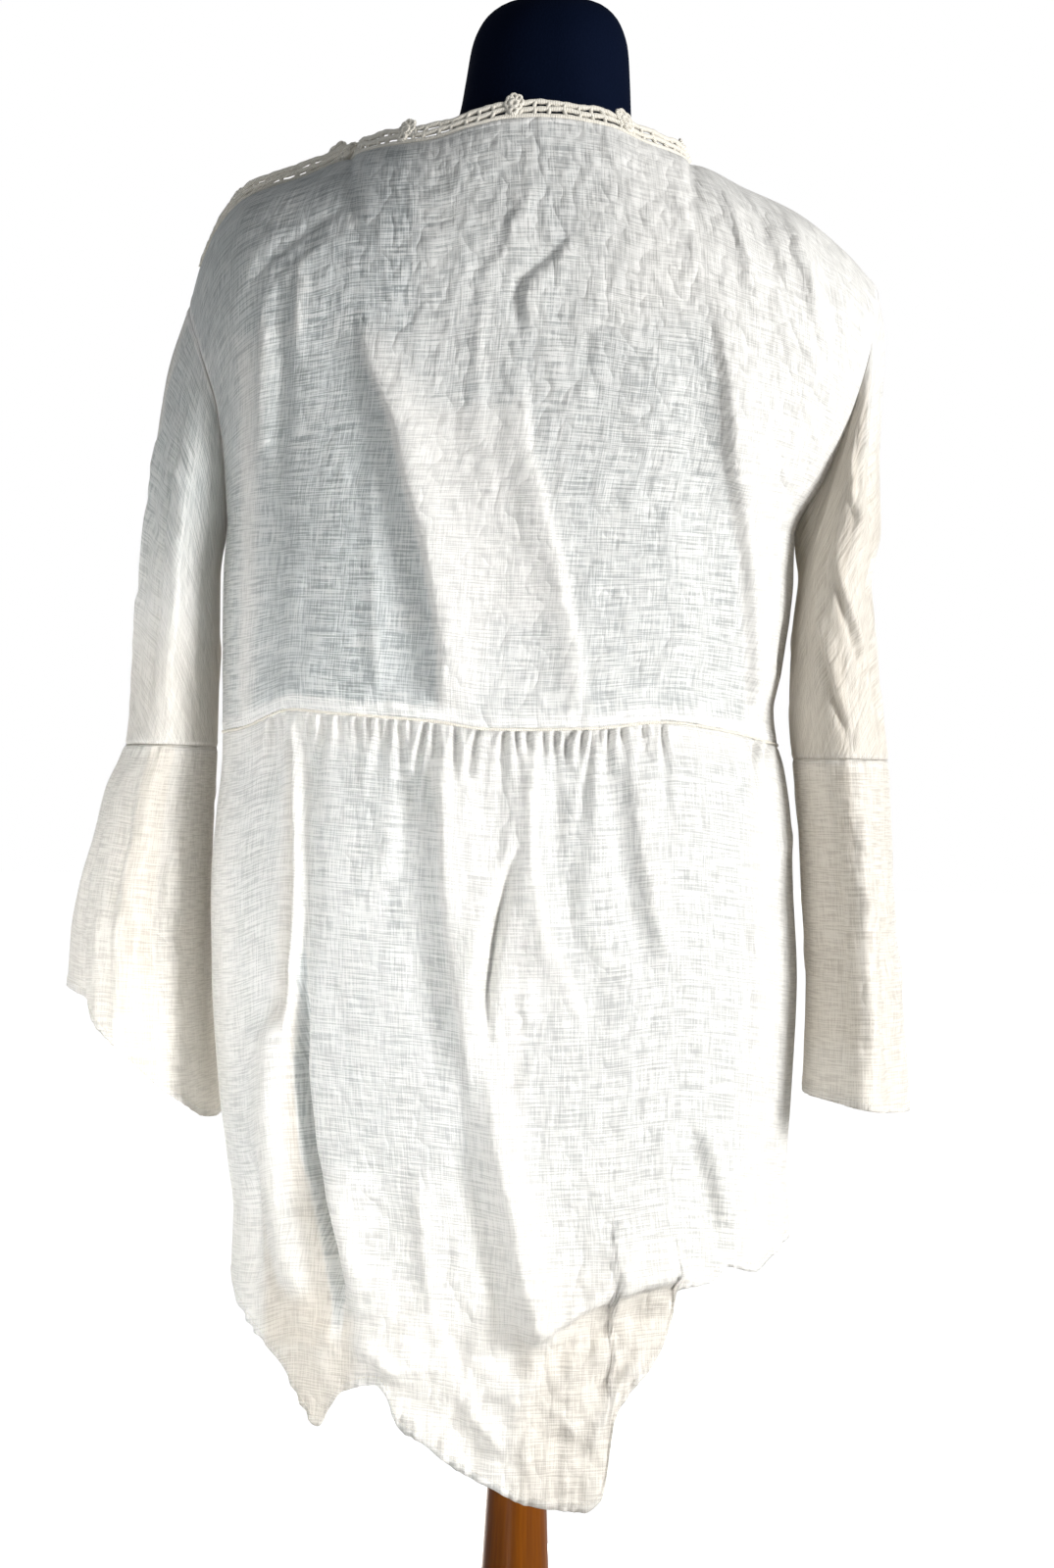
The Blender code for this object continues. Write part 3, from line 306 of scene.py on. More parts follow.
BACK_BODICE_FOLDS = (
    Fold(0.012, 0.0095, run_down(BLADE_LEFT, -0.004), 0.84, 0.25),
    Fold(0.015, -0.003, run_down(BLADE_LEFT, 0.017)),
    Fold(0.009, 0.0055, run_down(SPINE, 0.004), -0.76, 0.25),
    Fold(0.0036, -0.003, run_down(SPINE_TOP)),
    Fold(0.007, 0.003, run_down(SPINE_TOP, -0.007), 0.5),
    Fold(0.004, 0.0024, ((-0.0104, 1.3816), (0.0098, 1.3454), (0.0212, 1.3224), (0.0248, 1.3066),
                         (0.0395, 1.2874), (0.0426, 1.2486), (0.04, 1.16))),
    Fold(0.012, 0.0075, run_down(BLADE_RIGHT, -0.005), 0.82, 0.25),
    Fold(0.015, -0.003, run_down(BLADE_RIGHT, 0.017)),
    Fold(0.0055, 0.0036, ((0.1887, 1.285), (0.189, 1.23), (0.19, 1.15)), 0.4),
    Fold(0.0055, -0.004, ((0.1748, 1.3), (0.1752, 1.16), (0.179, 0.97))),
    Fold(0.0045, 0.0032, ((0.1642, 1.305), (0.1655, 1.23)), 0.4),
    Fold(0.006, 0.0026, ((0.118, 1.19), (0.1107, 1.096), (0.108, 0.99)), 0.4),
    Fold(0.004, -0.0022, ((0.2008, 1.2673), (0.1933, 1.2927), (0.1723, 1.3122), (0.1526, 1.3276),
                          (0.1235, 1.3436))),
    Fold(0.0035, 0.0018, ((0.184, 1.27), (0.17, 1.29), (0.148, 1.308), (0.126, 1.318)), 0.3),
    Fold(0.003, -0.0022, ((-0.0311, 1.256), (-0.029, 1.225))),
    Fold(0.0035, 0.0022, ((-0.085, 1.355), (-0.1, 1.315), (-0.098, 1.285)), 0.4),
    Fold(0.005, 0.0034, ((-0.12, 1.37), (-0.132, 1.32), (-0.144, 1.27)), 0.4),
    Fold(0.004, -0.0024, ((-0.145, 1.358), (-0.152, 1.315), (-0.164, 1.285))),
    Fold(0.005, 0.0034, ((-0.165, 1.35), (-0.176, 1.308), (-0.19, 1.25)), 0.4),
    Fold(0.005, -0.0026, ((-0.188, 1.335), (-0.2, 1.28), (-0.202, 1.22))),
    Fold(0.009, 0.0035, ((-0.168, 1.17), (-0.16, 1.08), (-0.159, 0.97)), 0.5),
)
FRONT_BODICE_FOLDS = (
    Fold(0.014, 0.0075, ((0.1, 1.27), (0.085, 1.12), (0.08, 1.01)), -0.5),
    Fold(0.014, -0.006, ((0.03, 1.24), (0.02, 1.12), (0.025, 1.02)), 0.2),
    Fold(0.014, 0.007, ((-0.06, 1.27), (-0.05, 1.13), (-0.055, 1.01)), 0.5),
    Fold(0.011, -0.005, ((-0.12, 1.25), (-0.125, 1.03))),
    Fold(0.006, 0.004, ((0.15, 1.29), (0.155, 1.18), (0.15, 1.05)), 0.3),
    Fold(0.006, 0.0035, ((-0.16, 1.28), (-0.156, 1.15), (-0.15, 1.03)), -0.3),
    Fold(0.005, -0.003, ((0.06, 1.3), (0.09, 1.26), (0.13, 1.24))),
    Fold(0.005, -0.003, ((-0.035, 1.29), (-0.065, 1.25), (-0.1, 1.235))),
)
BACK_SKIRT_FOLDS = (
    Fold(0.012, 0.008, run_down(SKIRT_LEFT, -0.004), 0.82),
    Fold(0.014, -0.003, run_down(SKIRT_LEFT, 0.015)),
    Fold(0.0034, -0.012, run_down(SKIRT_CREASE), 0.2, 0.4),
    Fold(0.008, 0.005, run_down(SKIRT_CREASE, 0.01), -0.4, 0.5),
    Fold(0.01, 0.008, run_down(SKIRT_MIDDLE, 0.005), -0.78),
    Fold(0.01, -0.0045, run_down(SKIRT_MIDDLE, -0.012)),
    Fold(0.007, -0.004, run_down(SKIRT_RIGHT), 0.3),
    Fold(0.01, 0.005, run_down(SKIRT_RIGHT, -0.015), 0.45),
    Fold(0.0045, -0.0045, ((0.0897, 0.96), (0.0778, 0.9234))),
    Fold(0.0034, 0.0075, run_down(PLEAT_LIP)),
    Fold(0.01, -0.0045, run_down(PLEAT_LIP, 0.013)),
    Fold(0.006, -0.006, run_down(PLEAT_LIP, -0.009)),
    Fold(0.0036, -0.02, run_down(PLEAT_GAP), 0.0, 0.35),
    Fold(0.005, -0.012, ((0.145, 0.695), (0.1389, 0.6671), (0.1291, 0.6357), (0.1202, 0.5874)), 0.0, 0.2),
    Fold(0.011, 0.012, ((0.17, 0.8), (0.169, 0.72), (0.162, 0.66), (0.152, 0.615), (0.14, 0.59)), -0.2,
         0.15),
    Fold(0.007, -0.007, ((0.185, 0.7), (0.185, 0.63), (0.183, 0.59))),
    Fold(0.012, 0.009, ((0.13, 0.7), (0.122, 0.65), (0.108, 0.61), (0.095, 0.58)), 0.3),
    Fold(0.013, 0.012, run_down(TAIL_RIDGE, -0.001), 0.3),
    Fold(0.01, -0.005, run_down(TAIL_RIDGE, 0.022)),
    Fold(0.009, 0.004, ((0.072, 0.69), (0.064, 0.63), (0.056, 0.58)), 0.4),
    Fold(0.013, 0.012, ((-0.118, 0.624), (-0.0711, 0.612), (-0.0393, 0.598), (0.0, 0.572)), -0.8, 0.15),
    Fold(0.008, -0.008, ((-0.1, 0.601), (-0.0711, 0.591), (-0.0393, 0.576), (-0.01, 0.556)), 0.0, 0.2),
    Fold(0.0045, -0.003, ((-0.085, 0.58), (-0.06, 0.55), (-0.04, 0.535))),
    Fold(0.005, 0.003, ((-0.075, 0.565), (-0.056, 0.525), (-0.045, 0.49))),
    Fold(0.005, -0.003, ((-0.03, 0.53), (-0.025, 0.49), (-0.015, 0.475))),
    Fold(0.006, -0.006, ((-0.1074, 0.728), (-0.116, 0.704), (-0.123, 0.679), (-0.136, 0.628)), 0.3),
    Fold(0.008, 0.0045, ((-0.118, 0.73), (-0.129, 0.69), (-0.142, 0.64)), 0.4),
    Fold(0.008, 0.0065, ((0.1188, 0.579), (0.0867, 0.552), (0.0703, 0.556), (0.0474, 0.565)), 0.4),
    Fold(0.006, -0.004, ((0.115, 0.565), (0.085, 0.54), (0.06, 0.535))),
    Fold(0.006, 0.0035, ((0.05, 0.55), (0.025, 0.52), (0.005, 0.495)), 0.3),
    Fold(0.007, 0.0045, ((-0.15, 0.9), (-0.156, 0.8), (-0.154, 0.7)), 0.45),
)
FRONT_SKIRT_FOLDS = (
    Fold(0.013, 0.011, ((0.11, 0.91), (0.12, 0.76), (0.125, 0.6)), -0.45),
    Fold(0.011, -0.01, ((0.065, 0.93), (0.07, 0.76), (0.075, 0.6)), 0.2),
    Fold(0.014, 0.01, ((0.015, 0.9), (0.01, 0.74), (0.015, 0.6)), 0.4),
    Fold(0.011, -0.01, ((-0.04, 0.93), (-0.045, 0.76), (-0.05, 0.61))),
    Fold(0.013, 0.01, ((-0.095, 0.92), (-0.105, 0.76), (-0.11, 0.61)), 0.45),
    Fold(0.006, -0.005, ((0.16, 0.82), (0.165, 0.72), (0.16, 0.62))),
    Fold(0.006, -0.005, ((-0.15, 0.85), (-0.152, 0.73), (-0.145, 0.64))),
)
# Folds of the sleeves, along (turns from the outer side over the back, height)
LEFT_SLEEVE_FOLDS = (
    Fold(0.006, -0.006, ((0.19, 1.23), (0.185, 1.1), (0.19, 0.985))),
    Fold(0.008, 0.0045, ((0.12, 1.21), (0.11, 1.1), (0.12, 0.985)), 0.3),
    Fold(0.008, 0.0045, ((0.27, 1.19), (0.275, 1.08), (0.265, 0.99)), 0.3),
    Fold(0.008, -0.003, ((0.7, 1.22), (0.71, 1.09), (0.7, 0.985))),
    Fold(0.009, 0.0035, ((0.8, 1.2), (0.81, 1.06), (0.8, 0.985))),
    Fold(0.0045, 0.0026, ((0.19, 1.012), (0.29, 0.996))),
    Fold(0.004, -0.0026, ((0.16, 1.0), (0.27, 0.984))),
    Fold(0.004, 0.0024, ((0.14, 1.18), (0.23, 1.15), (0.3, 1.105))),
    Fold(0.0045, -0.0024, ((0.08, 1.15), (0.15, 1.12), (0.23, 1.09))),
)
RIGHT_SLEEVE_FOLDS = (
    Fold(0.006, -0.006, ((0.15, 1.24), (0.14, 1.18), (0.16, 1.12))),
    Fold(0.007, 0.004, ((0.22, 1.23), (0.21, 1.17), (0.23, 1.11)), 0.3),
    Fold(0.006, 0.005, ((0.4, 1.095), (0.3, 1.04), (0.24, 0.985)), 0.4),
    Fold(0.005, -0.0045, ((0.38, 1.07), (0.29, 1.015), (0.24, 0.975))),
    Fold(0.006, 0.0045, ((0.33, 1.13), (0.22, 1.07), (0.15, 1.03)), 0.4),
    Fold(0.005, -0.004, ((0.31, 1.1), (0.21, 1.05), (0.14, 1.01))),
    Fold(0.006, -0.005, ((0.06, 1.12), (0.09, 1.095), (0.13, 1.08))),
    Fold(0.005, 0.004, ((0.3, 1.2), (0.26, 1.15), (0.18, 1.12)), 0.3),
    Fold(0.008, -0.0035, ((0.1, 1.07), (0.11, 1.03), (0.09, 0.985))),
    Fold(0.008, -0.003, ((0.72, 1.2), (0.71, 1.09), (0.72, 0.985))),
    Fold(0.009, 0.0035, ((0.82, 1.18), (0.83, 1.06), (0.82, 0.985))),
)
LEFT_FLOUNCE_FOLDS = (
    Fold(0.007, -0.009, ((0.19, 0.975), (0.195, 0.88), (0.2, 0.74))),
    Fold(0.009, 0.0055, ((0.13, 0.95), (0.13, 0.86), (0.13, 0.76)), 0.3),
    Fold(0.009, 0.0055, ((0.265, 0.95), (0.27, 0.85), (0.28, 0.74)), 0.3),
    Fold(0.008, -0.005, ((0.33, 0.93), (0.335, 0.74))),
    Fold(0.005, 0.003, ((0.08, 0.94), (0.07, 0.86), (0.085, 0.79))),
    Fold(0.01, -0.006, ((0.7, 0.95), (0.69, 0.74))),
    Fold(0.011, 0.005, ((0.78, 0.95), (0.79, 0.74))),
    Fold(0.009, -0.0045, ((0.88, 0.94), (0.89, 0.76))),
)
RIGHT_FLOUNCE_FOLDS = (
    Fold(0.008, -0.005, ((0.3, 0.965), (0.32, 0.86), (0.31, 0.735))),
    Fold(0.009, 0.0045, ((0.22, 0.96), (0.225, 0.84), (0.215, 0.735)), 0.3),
    Fold(0.008, -0.004, ((0.13, 0.93), (0.14, 0.735))),
    Fold(0.005, 0.003, ((0.26, 0.9), (0.2, 0.86), (0.18, 0.83))),
    Fold(0.005, -0.0028, ((0.24, 0.84), (0.19, 0.8), (0.17, 0.76))),
    Fold(0.01, -0.0045, ((0.7, 0.95), (0.69, 0.735))),
    Fold(0.01, 0.0045, ((0.79, 0.95), (0.8, 0.735))),
)
# Painted light on the body's cloth. Above 0 it is painted shade: the dark form seen through the cloth,
# and shade in folds and away from the light. Below 0 it is painted warm glow of light through the
# cloth, and warm shade.
LEFT_LIMIT = upright(0.192)
BACK_BODICE_SHADES = (
    Shade(upright(0.27), ((0.5, 0.05), (1.4, 0.08)), 1.24, 1.45, 1.0, (0.01, 0.06, 0.05, 0.02)),
    Shade(upright(0.27), ((0.5, 0.2), (1.4, 0.206)), 0.98, 1.4, 0.75, (0.01, 0.008, 0.02, 0.02)),
    Shade(LEFT_LIMIT, BLADE_LEFT, 0.98, 1.262, 1.0, (0.014, 0.003, 0.02, 0.06)),
    Shade(SPINE, BLADE_RIGHT, 0.98, 1.262, 0.55, (0.003, 0.004, 0.02, 0.06)),
    Shade(BLADE_LEFT, SPINE, 1.207, 1.3, 0.45, (0.006, 0.006, 0.003, 0.05)),
    Shade(((1.0, 0.045), (1.06, 0.03)), SPINE, 0.98, 1.058, 0.4, (0.016, 0.006, 0.01, 0.02)),
    Shade(LEFT_LIMIT, ((0.5, -0.06), (1.4, -0.04)), 1.2, 1.42, 0.5, (0.03, 0.08, 0.02, 0.02)),
)
FRONT_BODICE_SHADES = (
    Shade(((0.9, 0.16), (1.4, 0.17)), ((0.9, 0.085), (1.3, 0.105)), 1.0, 1.25, 0.85,
          (0.02, 0.004, 0.02, 0.06)),
    Shade(((0.9, 0.06), (1.3, 0.07)), ((0.9, -0.045), (1.3, -0.035)), 1.02, 1.23, 0.8,
          (0.02, 0.004, 0.03, 0.05)),
    Shade(((0.9, -0.065), (1.3, -0.07)), upright(-0.13), 1.0, 1.25, 0.8, (0.01, 0.02, 0.02, 0.06)),
    Shade(LEFT_LIMIT, upright(-0.145), 1.2, 1.42, 0.4, (0.03, 0.03, 0.03, 0.02)),
)
BACK_SKIRT_SHADES = (
    # The first stretch is a painted shadow inside the pleat's gap
    Shade(PLEAT_SHADOW, PLEAT_GAP, 0.58, 0.83, 2.2, (0.003, 0.002, 0.04, 0.05)),
    Shade(upright(0.205), ((0.5, 0.166), (1.0, 0.162)), 0.66, 0.96, 0.3, (0.02, 0.006, 0.05, 0.03)),
    Shade(((0.5, 0.15), (1.0, 0.152)), SKIRT_LEFT, 0.66, 0.97, 0.42, (0.01, 0.004, 0.08, 0.02)),
    Shade(upright(0.15), ((0.5, 0.01), (1.0, 0.05)), 0.6, 0.8, 0.25, (0.02, 0.02, 0.05, 0.05)),
    Shade(SKIRT_MIDDLE, ((0.5, -0.145), (1.0, -0.15)), 0.624, 0.97, 0.34, (0.004, 0.016, 0.003, 0.02)),
    Shade(((0.4, 0.005), (0.62, 0.0)), upright(-0.11), 0.4, 0.62, -0.6, (0.02, 0.01, 0.01, 0.008)),
    Shade(PLEAT_LIP_LEFT, PLEAT_LIP, 0.6, 0.96, -0.75, (0.012, 0.004, 0.03, 0.06)),
    Shade(((0.5, 0.176), (0.66, 0.172), (0.83, 0.154)), PLEAT_GAP, 0.56, 0.8, -0.9,
          (0.01, 0.003, 0.02, 0.1)),
    Shade(upright(0.165), upright(0.112), 0.5, 0.59, -0.7, (0.02, 0.01, 0.02, 0.02)),
    Shade(upright(0.0), upright(-0.145), 0.624, 0.8, 0.34, (0.01, 0.016, 0.003, 0.05)),
)
FRONT_SKIRT_SHADES = (
    Shade(((0.5, 0.15), (1.0, 0.14)), upright(-0.11), 0.67, 0.95, 0.6, (0.02, 0.02, 0.01, 0.03)),
)
# The same painted shade and warm glow on sleeves and flounces; across is metres round from the outer
# side over the back
LEFT_SLEEVE_SHADES = (
    # Painted shade over the upper sleeve, away from the light
    Shade(upright(0.19), upright(0.03), 1.08, 1.4, 1.3, (0.03, 0.03, 0.16, 0.02)),
    Shade(upright(0.34), upright(0.01), 0.9, 1.4, -0.45, (0.03, 0.03, 0.02, 0.02)),
)
RIGHT_SLEEVE_SHADES = (
    # Painted warm shade on the inner side, next to the body
    Shade(upright(0.2), ((0.5, 0.095), (1.4, 0.075)), 0.9, 1.23, -1.0, (0.03, 0.016, 0.02, 0.06)),
    Shade(upright(0.34), upright(0.02), 0.9, 1.2, -0.8, (0.03, 0.03, 0.02, 0.08)),
)
LEFT_FLOUNCE_SHADES = (
    Shade(((0.5, 0.12), (1.4, 0.1)), ((0.5, 0.085), (1.4, 0.07)), 0.7, 1.0, -0.8, (0.01, 0.01, 0.02, 0.02)),
    Shade(upright(0.35), upright(0.01), 0.6, 1.1, -0.4, (0.03, 0.03, 0.02, 0.02)),
)
RIGHT_FLOUNCE_SHADES = (
    Shade(upright(0.2), upright(0.085), 0.76, 1.1, -0.9, (0.03, 0.02, 0.05, 0.02)),
    Shade(upright(0.34), upright(0.02), 0.6, 1.1, -0.65, (0.03, 0.03, 0.02, 0.02)),
)


class Finish(Enum):
    """Material slots of the part's record."""

    LINEN = "linen"
    LACE = "lace"
    JERSEY = "jersey"
    WOOD = "wood"


def curve(rows: Table | Array, column: int, places: Array) -> Array:
    """Read one column of a table along a smooth line that never overshoots its rows.

    A cubic runs between neighbouring rows, level where the values turn round.

    Args:
        rows: the table, its first column rising.
        column: the column to read.
        places: values of the first column to read it at.

    Returns:
        The column's value at each place.
    """
    table = np.asarray(rows, dtype=float)
    x, y = table[:, 0], table[:, column]
    step = np.diff(x)
    slope = np.diff(y) / step
    tangent = np.empty_like(y)
    tangent[0], tangent[-1] = slope[0], slope[-1]
    product = slope[:-1] * slope[1:]
    total = np.where(product > 0, slope[:-1] + slope[1:], 1.0)
    tangent[1:-1] = np.where(product > 0, 2 * product / total, 0.0)
    at = np.clip(places, x[0], x[-1])
    i = np.clip(np.searchsorted(x, at, side="right") - 1, 0, len(x) - 2)
    t = (at - x[i]) / step[i]
    rise = (3 - 2 * t) * t * t
    return (y[i] * (1 - rise) + y[i + 1] * rise
            + step[i] * t * (1 - t) * ((1 - t) * tangent[i] - t * tangent[i + 1]))


def fill_steps(values: list[float], widest: float) -> Array:
    """Add even steps between sorted values wherever two lie further apart than widest."""
    filled = [values[0]]
    for value in values[1:]:
        count = max(1, math.ceil((value - filled[-1]) / widest))
        filled.extend(np.linspace(filled[-1], value, count + 1)[1:])
    return np.array(filled)


def smooth_step(values: Array) -> Array:
    """Rise softly from 0 to 1 as the values do."""
    t = np.clip(values, 0.0, 1.0)
    return t * t * (3 - 2 * t)


def unit(vectors: Array) -> Array:
    """Give vectors a length of one."""
    return vectors / np.maximum(np.linalg.norm(vectors, axis=-1, keepdims=True), 1e-12)


def run_length(points: Array, axis: int) -> Array:
    """Length of the surface from its first row or column to each point, along that axis."""
    step = np.linalg.norm(np.diff(points, axis=axis), axis=-1)
    start = np.zeros_like(np.take(step, [0], axis=axis))
    return np.concatenate([start, np.cumsum(step, axis=axis)], axis=axis)


def read_path(places: Array, along: Array, values: Array) -> Array:
    """Read rows of values, known at distances along a path, at other places on it."""
    return np.stack([np.interp(places, along, column) for column in values.T], axis=-1)


def even_angles(count: int) -> Array:
    """Angles in even steps round a full turn, from 0."""
    return np.arange(count) * 2 * math.pi / count


def between(left: Array | float, right: Array | float, shares: Array) -> Array:
    """Places between two edges, at shares from 1 on the left to -1 on the right."""
    return (left + right) / 2 + (left - right) / 2 * shares


def closed(grid: Array) -> Array:
    """Repeat a grid's first column after its last, to close it round."""
    return np.concatenate([grid, grid[:, :1]], axis=1)


def slope_across(points: Array, around: bool) -> Array:
    """Slope from column to column of a grid that may close round."""
    if not around:
        return np.gradient(points, axis=1)
    return np.gradient(np.concatenate([points[:, -1:], closed(points)], axis=1), axis=1)[:, 1:-1]


def grid_quads(rows: int, columns: int, around: bool) -> Array:
    """Corner numbers of the quads of a grid that may close round."""
    r, c = np.mgrid[0:rows - 1, 0:columns if around else columns - 1]
    n = (c + 1) % columns
    upper, lower = r * columns, (r + 1) * columns
    return np.stack([upper + c, upper + n, lower + n, lower + c], axis=-1)


def grid_normals(points: Array, around: bool, axis: Array) -> Array:
    """Normals of a grid surface, turned away from the upright axis that it goes round.

    Each is the cross product of the grid's slopes across and down.
    """
    normals = unit(np.cross(slope_across(points, around), np.gradient(points, axis=0)))
    away = points - axis
    away[..., 2] = 0
    return normals if (normals * away).sum() > 0 else -normals


def fold_lift(flat: Array, folds: tuple[Fold, ...] | list[Fold]) -> Array:
    """Height that folds give each place of the cloth.

    A fold gives its height, less towards the line's ends, times a bell of the distance to the
    line, and the folds are added up.

    Args:
        flat: places over the cloth, in the coordinates of the folds' lines.
        folds: the ridges and troughs.

    Returns:
        The height at each place.
    """
    lift = np.zeros(flat.shape[:2])
    for fold in folds:
        line = np.array(fold.line)
        runs = np.diff(line, axis=0)
        lengths = np.linalg.norm(runs, axis=1)
        nearest = np.full(lift.shape, np.inf)
        side, place = np.zeros(lift.shape), np.zeros(lift.shape)
        for start, run, length, before in zip(line[:-1], runs, lengths, np.cumsum(lengths) - lengths):
            offset = flat - start
            t = np.clip(offset @ run / (run @ run), 0, 1)
            distance = np.linalg.norm(offset - t[..., None] * run, axis=-1)
            left = np.sign(run[0] * offset[..., 1] - run[1] * offset[..., 0])
            closer = distance < nearest
            side, place = np.where(closer, left, side), np.where(closer, before + t * length, place)
            nearest = np.minimum(distance, nearest)
        total = lengths.sum()
        ends = smooth_step(np.minimum(place, total - place) / (fold.taper * total))
        lift += fold.height * ends * np.exp(-(nearest / (fold.half_width * (1 - fold.lean * side))) ** 2)
    return lift


def painted_light_map(flat: Array, shades: tuple[Shade, ...]) -> Array:
    """Painted shade at each place of the cloth, or below 0 painted warm glow and warm shade.

    Args:
        flat: places over the cloth, across and height.
        shades: the stretches; the strongest of each sign counts, and the two are added.

    Returns:
        The painted light at each place.
    """
    x, z = flat[..., 0], flat[..., 1]
    painted_shade, painted_warmth = np.zeros(x.shape), np.zeros(x.shape)
    for shade in shades:
        left, right = (np.interp(z, *np.array(line).T) for line in (shade.left, shade.right))
        inside = (left - x, x - right, z - shade.low, shade.high - z)
        share = np.prod([smooth_step(room / soft + 0.5) for room, soft in zip(inside, shade.soft)], axis=0)
        painted_shade, painted_warmth = np.maximum(painted_shade, share * shade.amount), np.minimum(painted_warmth, share * shade.amount)
    return painted_shade + painted_warmth


@dataclass(frozen=True)
class Crinkles:
    """Small chance creases of washed linen, scattered over a stretch of cloth."""

    seed: int
    count: int
    low: tuple[float, float]
    high: tuple[float, float]
    height: float = 0.0011
    slant: float = 0.45

    def folds(self) -> list[Fold]:
        """Draw short bent lines, mostly upright, each with its own width, height and lean."""
        rng = np.random.default_rng(self.seed)
        drawn = []
        for _ in range(self.count):
            middle = rng.uniform(self.low, self.high)
            angle = rng.normal(math.pi / 2, self.slant)
            reach = np.array((math.cos(angle), math.sin(angle))) * rng.uniform(0.01, 0.038)
            bend = np.array((-reach[1], reach[0])) * rng.uniform(-0.3, 0.3)
            line = (tuple(middle - reach), tuple(middle + bend), tuple(middle + reach))
            height = self.height * rng.uniform(0.4, 1.0) * rng.choice((-1.0, 1.0))
            drawn.append(Fold(rng.uniform(0.0035, 0.008), height, line, rng.uniform(-0.4, 0.4)))
        return drawn


def band(distance: Array, width: float, soft: float = 0.0012) -> Array:
    """One within a band along an edge and 0 past it, with a soft limit."""
    return smooth_step((width - distance) / soft + 0.5)


def seam_dip(distance: Array, depth: float, reach: float = 0.002) -> Array:
    """Depth of the narrow trough along a seam: a bell of the distance to it."""
    return depth * np.exp(-(distance / reach) ** 2)


def ripple(places: Array, height: float, waves: Triple, distance: Array, reach: float) -> Array:
    """Uneven small waves along an edge, that fade away from it.

    They are a sine whose phase sways with a second sine, times a falling exponential.

    Args:
        places: place along the edge.
        height: height of the waves at the edge.
        waves: steepness of the first sine, sway of its phase and steepness of the second sine.
        distance: distance from the edge.
        reach: distance over which the waves fade.

    Returns:
        The height at each place.
    """
    fine, sway, slow = waves
    return height * np.sin(places * fine + sway * np.sin(places * slow)) * np.exp(-distance / reach)


def body_swell(shares: Array) -> Array:
    """Depth of a rounded body at a share across it, 1 in the middle and 0 at the sides."""
    return (1 - np.minimum(np.abs(shares), 1) ** BODY_ROUNDNESS) ** (1 / BODY_ROUNDNESS)


def neck_depth(across: Array) -> Array:
    """Share of the neck's depth at a place across it, as an oval has it."""
    middle, half = (NECK_LEFT + NECK_RIGHT) / 2, (NECK_LEFT - NECK_RIGHT) / 2
    return np.sqrt(np.maximum(1 - ((across - middle) / half) ** 2, 0))


class Value:
    """A number that varies over a surface: one socket, with Math nodes behind its operators."""

    def __init__(self, graph: "Graph", socket: Socket) -> None:
        """Wrap a socket of a graph."""
        self.graph = graph
        self.socket = socket

    def math(self, operation: str, *others: "Value | float") -> "Value":
        """Add a Math node with this value first."""
        return self.graph.math(operation, self, *others)

    def __add__(self, other: "Value | float") -> "Value":
        """Sum."""
        return self.math("ADD", other)

    __radd__ = __add__

    def __sub__(self, other: "Value | float") -> "Value":
        """Difference."""
        return self.math("SUBTRACT", other)

    def __rsub__(self, other: float) -> "Value":
        """Difference from a number."""
        return self.graph.math("SUBTRACT", other, self)

    def __mul__(self, other: "Value | float") -> "Value":
        """Product."""
        return self.math("MULTIPLY", other)

    __rmul__ = __mul__

    def clamped(self, low: float = 0.0, high: float = 1.0) -> "Value":
        """Keep within two limits."""
        return self.math("MAXIMUM", low).math("MINIMUM", high)


class Graph:
    """The nodes of one material or world."""

    def __init__(self, owner: Material | bpy.types.World) -> None:
        """Start with no nodes."""
        self.owner = owner
        owner.use_nodes = True
        self.tree = owner.node_tree
        self.tree.nodes.clear()

    def node(self, kind: str, settings: dict | None = None, inputs: dict | None = None) -> bpy.types.Node:
        """Add a node.

        Args:
            kind: the node's type.
            settings: its attributes.
            inputs: a value, socket or Value for each named or numbered socket.

        Returns:
            The node.
        """
        made = self.tree.nodes.new(kind)
        for key, value in (settings or {}).items():
            setattr(made, key, value)
        for key, value in (inputs or {}).items():
            value = value.socket if isinstance(value, Value) else value
            if isinstance(value, Socket):
                self.tree.links.new(value, made.inputs[key])
            else:
                made.inputs[key].default_value = value
        return made

    def read(self, kind: str, output: str, settings: dict | None = None) -> Socket:
        """Add a node that takes no inputs, such as the coordinates, and give one of its outputs."""
        return self.node(kind, settings).outputs[output]

    def math(self, operation: str, *terms: "Value | float") -> Value:
        """Add a Math node."""
        made = self.node("ShaderNodeMath", {"operation": operation}, dict(enumerate(terms)))
        return Value(self, made.outputs[0])

    def scaled(self, vector: Socket, factors: Triple) -> Socket:
        """Multiply a vector's three parts."""
        made = self.node("ShaderNodeVectorMath", {"operation": "MULTIPLY"}, {0: vector, 1: factors})
        return made.outputs[0]

    def noise(self, vector: Socket, factors: Triple, detail: float = 2.0, dimensions: str = "3D") -> Value:
        """Soft random values round 0, with so many changes a metre along each direction."""
        made = self.node("ShaderNodeTexNoise", {"noise_dimensions": dimensions}, {
            "Vector": self.scaled(vector, factors), "Scale": 1.0, "Detail": detail, "Roughness": 0.55})
        return Value(self, made.outputs["Fac"]) - 0.5

    def blend(self, factor: "Value | float", first: object, second: object) -> Socket:
        """Mix two colours."""
        made = self.node("ShaderNodeMix", {"data_type": "RGBA"}, {0: factor, 6: first, 7: second})
        return made.outputs[2]

    def bump(self, height: Value, distance: float, strength: float = 1.0) -> Socket:
        """Turn a height into a normal."""
        made = self.node("ShaderNodeBump", {}, {
            "Height": height, "Distance": distance, "Strength": strength})
        return made.outputs["Normal"]

    def finish(self, shader: Socket) -> Material | bpy.types.World:
        """Send a shader to the output."""
        kind = "World" if isinstance(self.owner, bpy.types.World) else "Material"
        self.node(f"ShaderNodeOutput{kind}", {}, {"Surface": shader})
        return self.owner


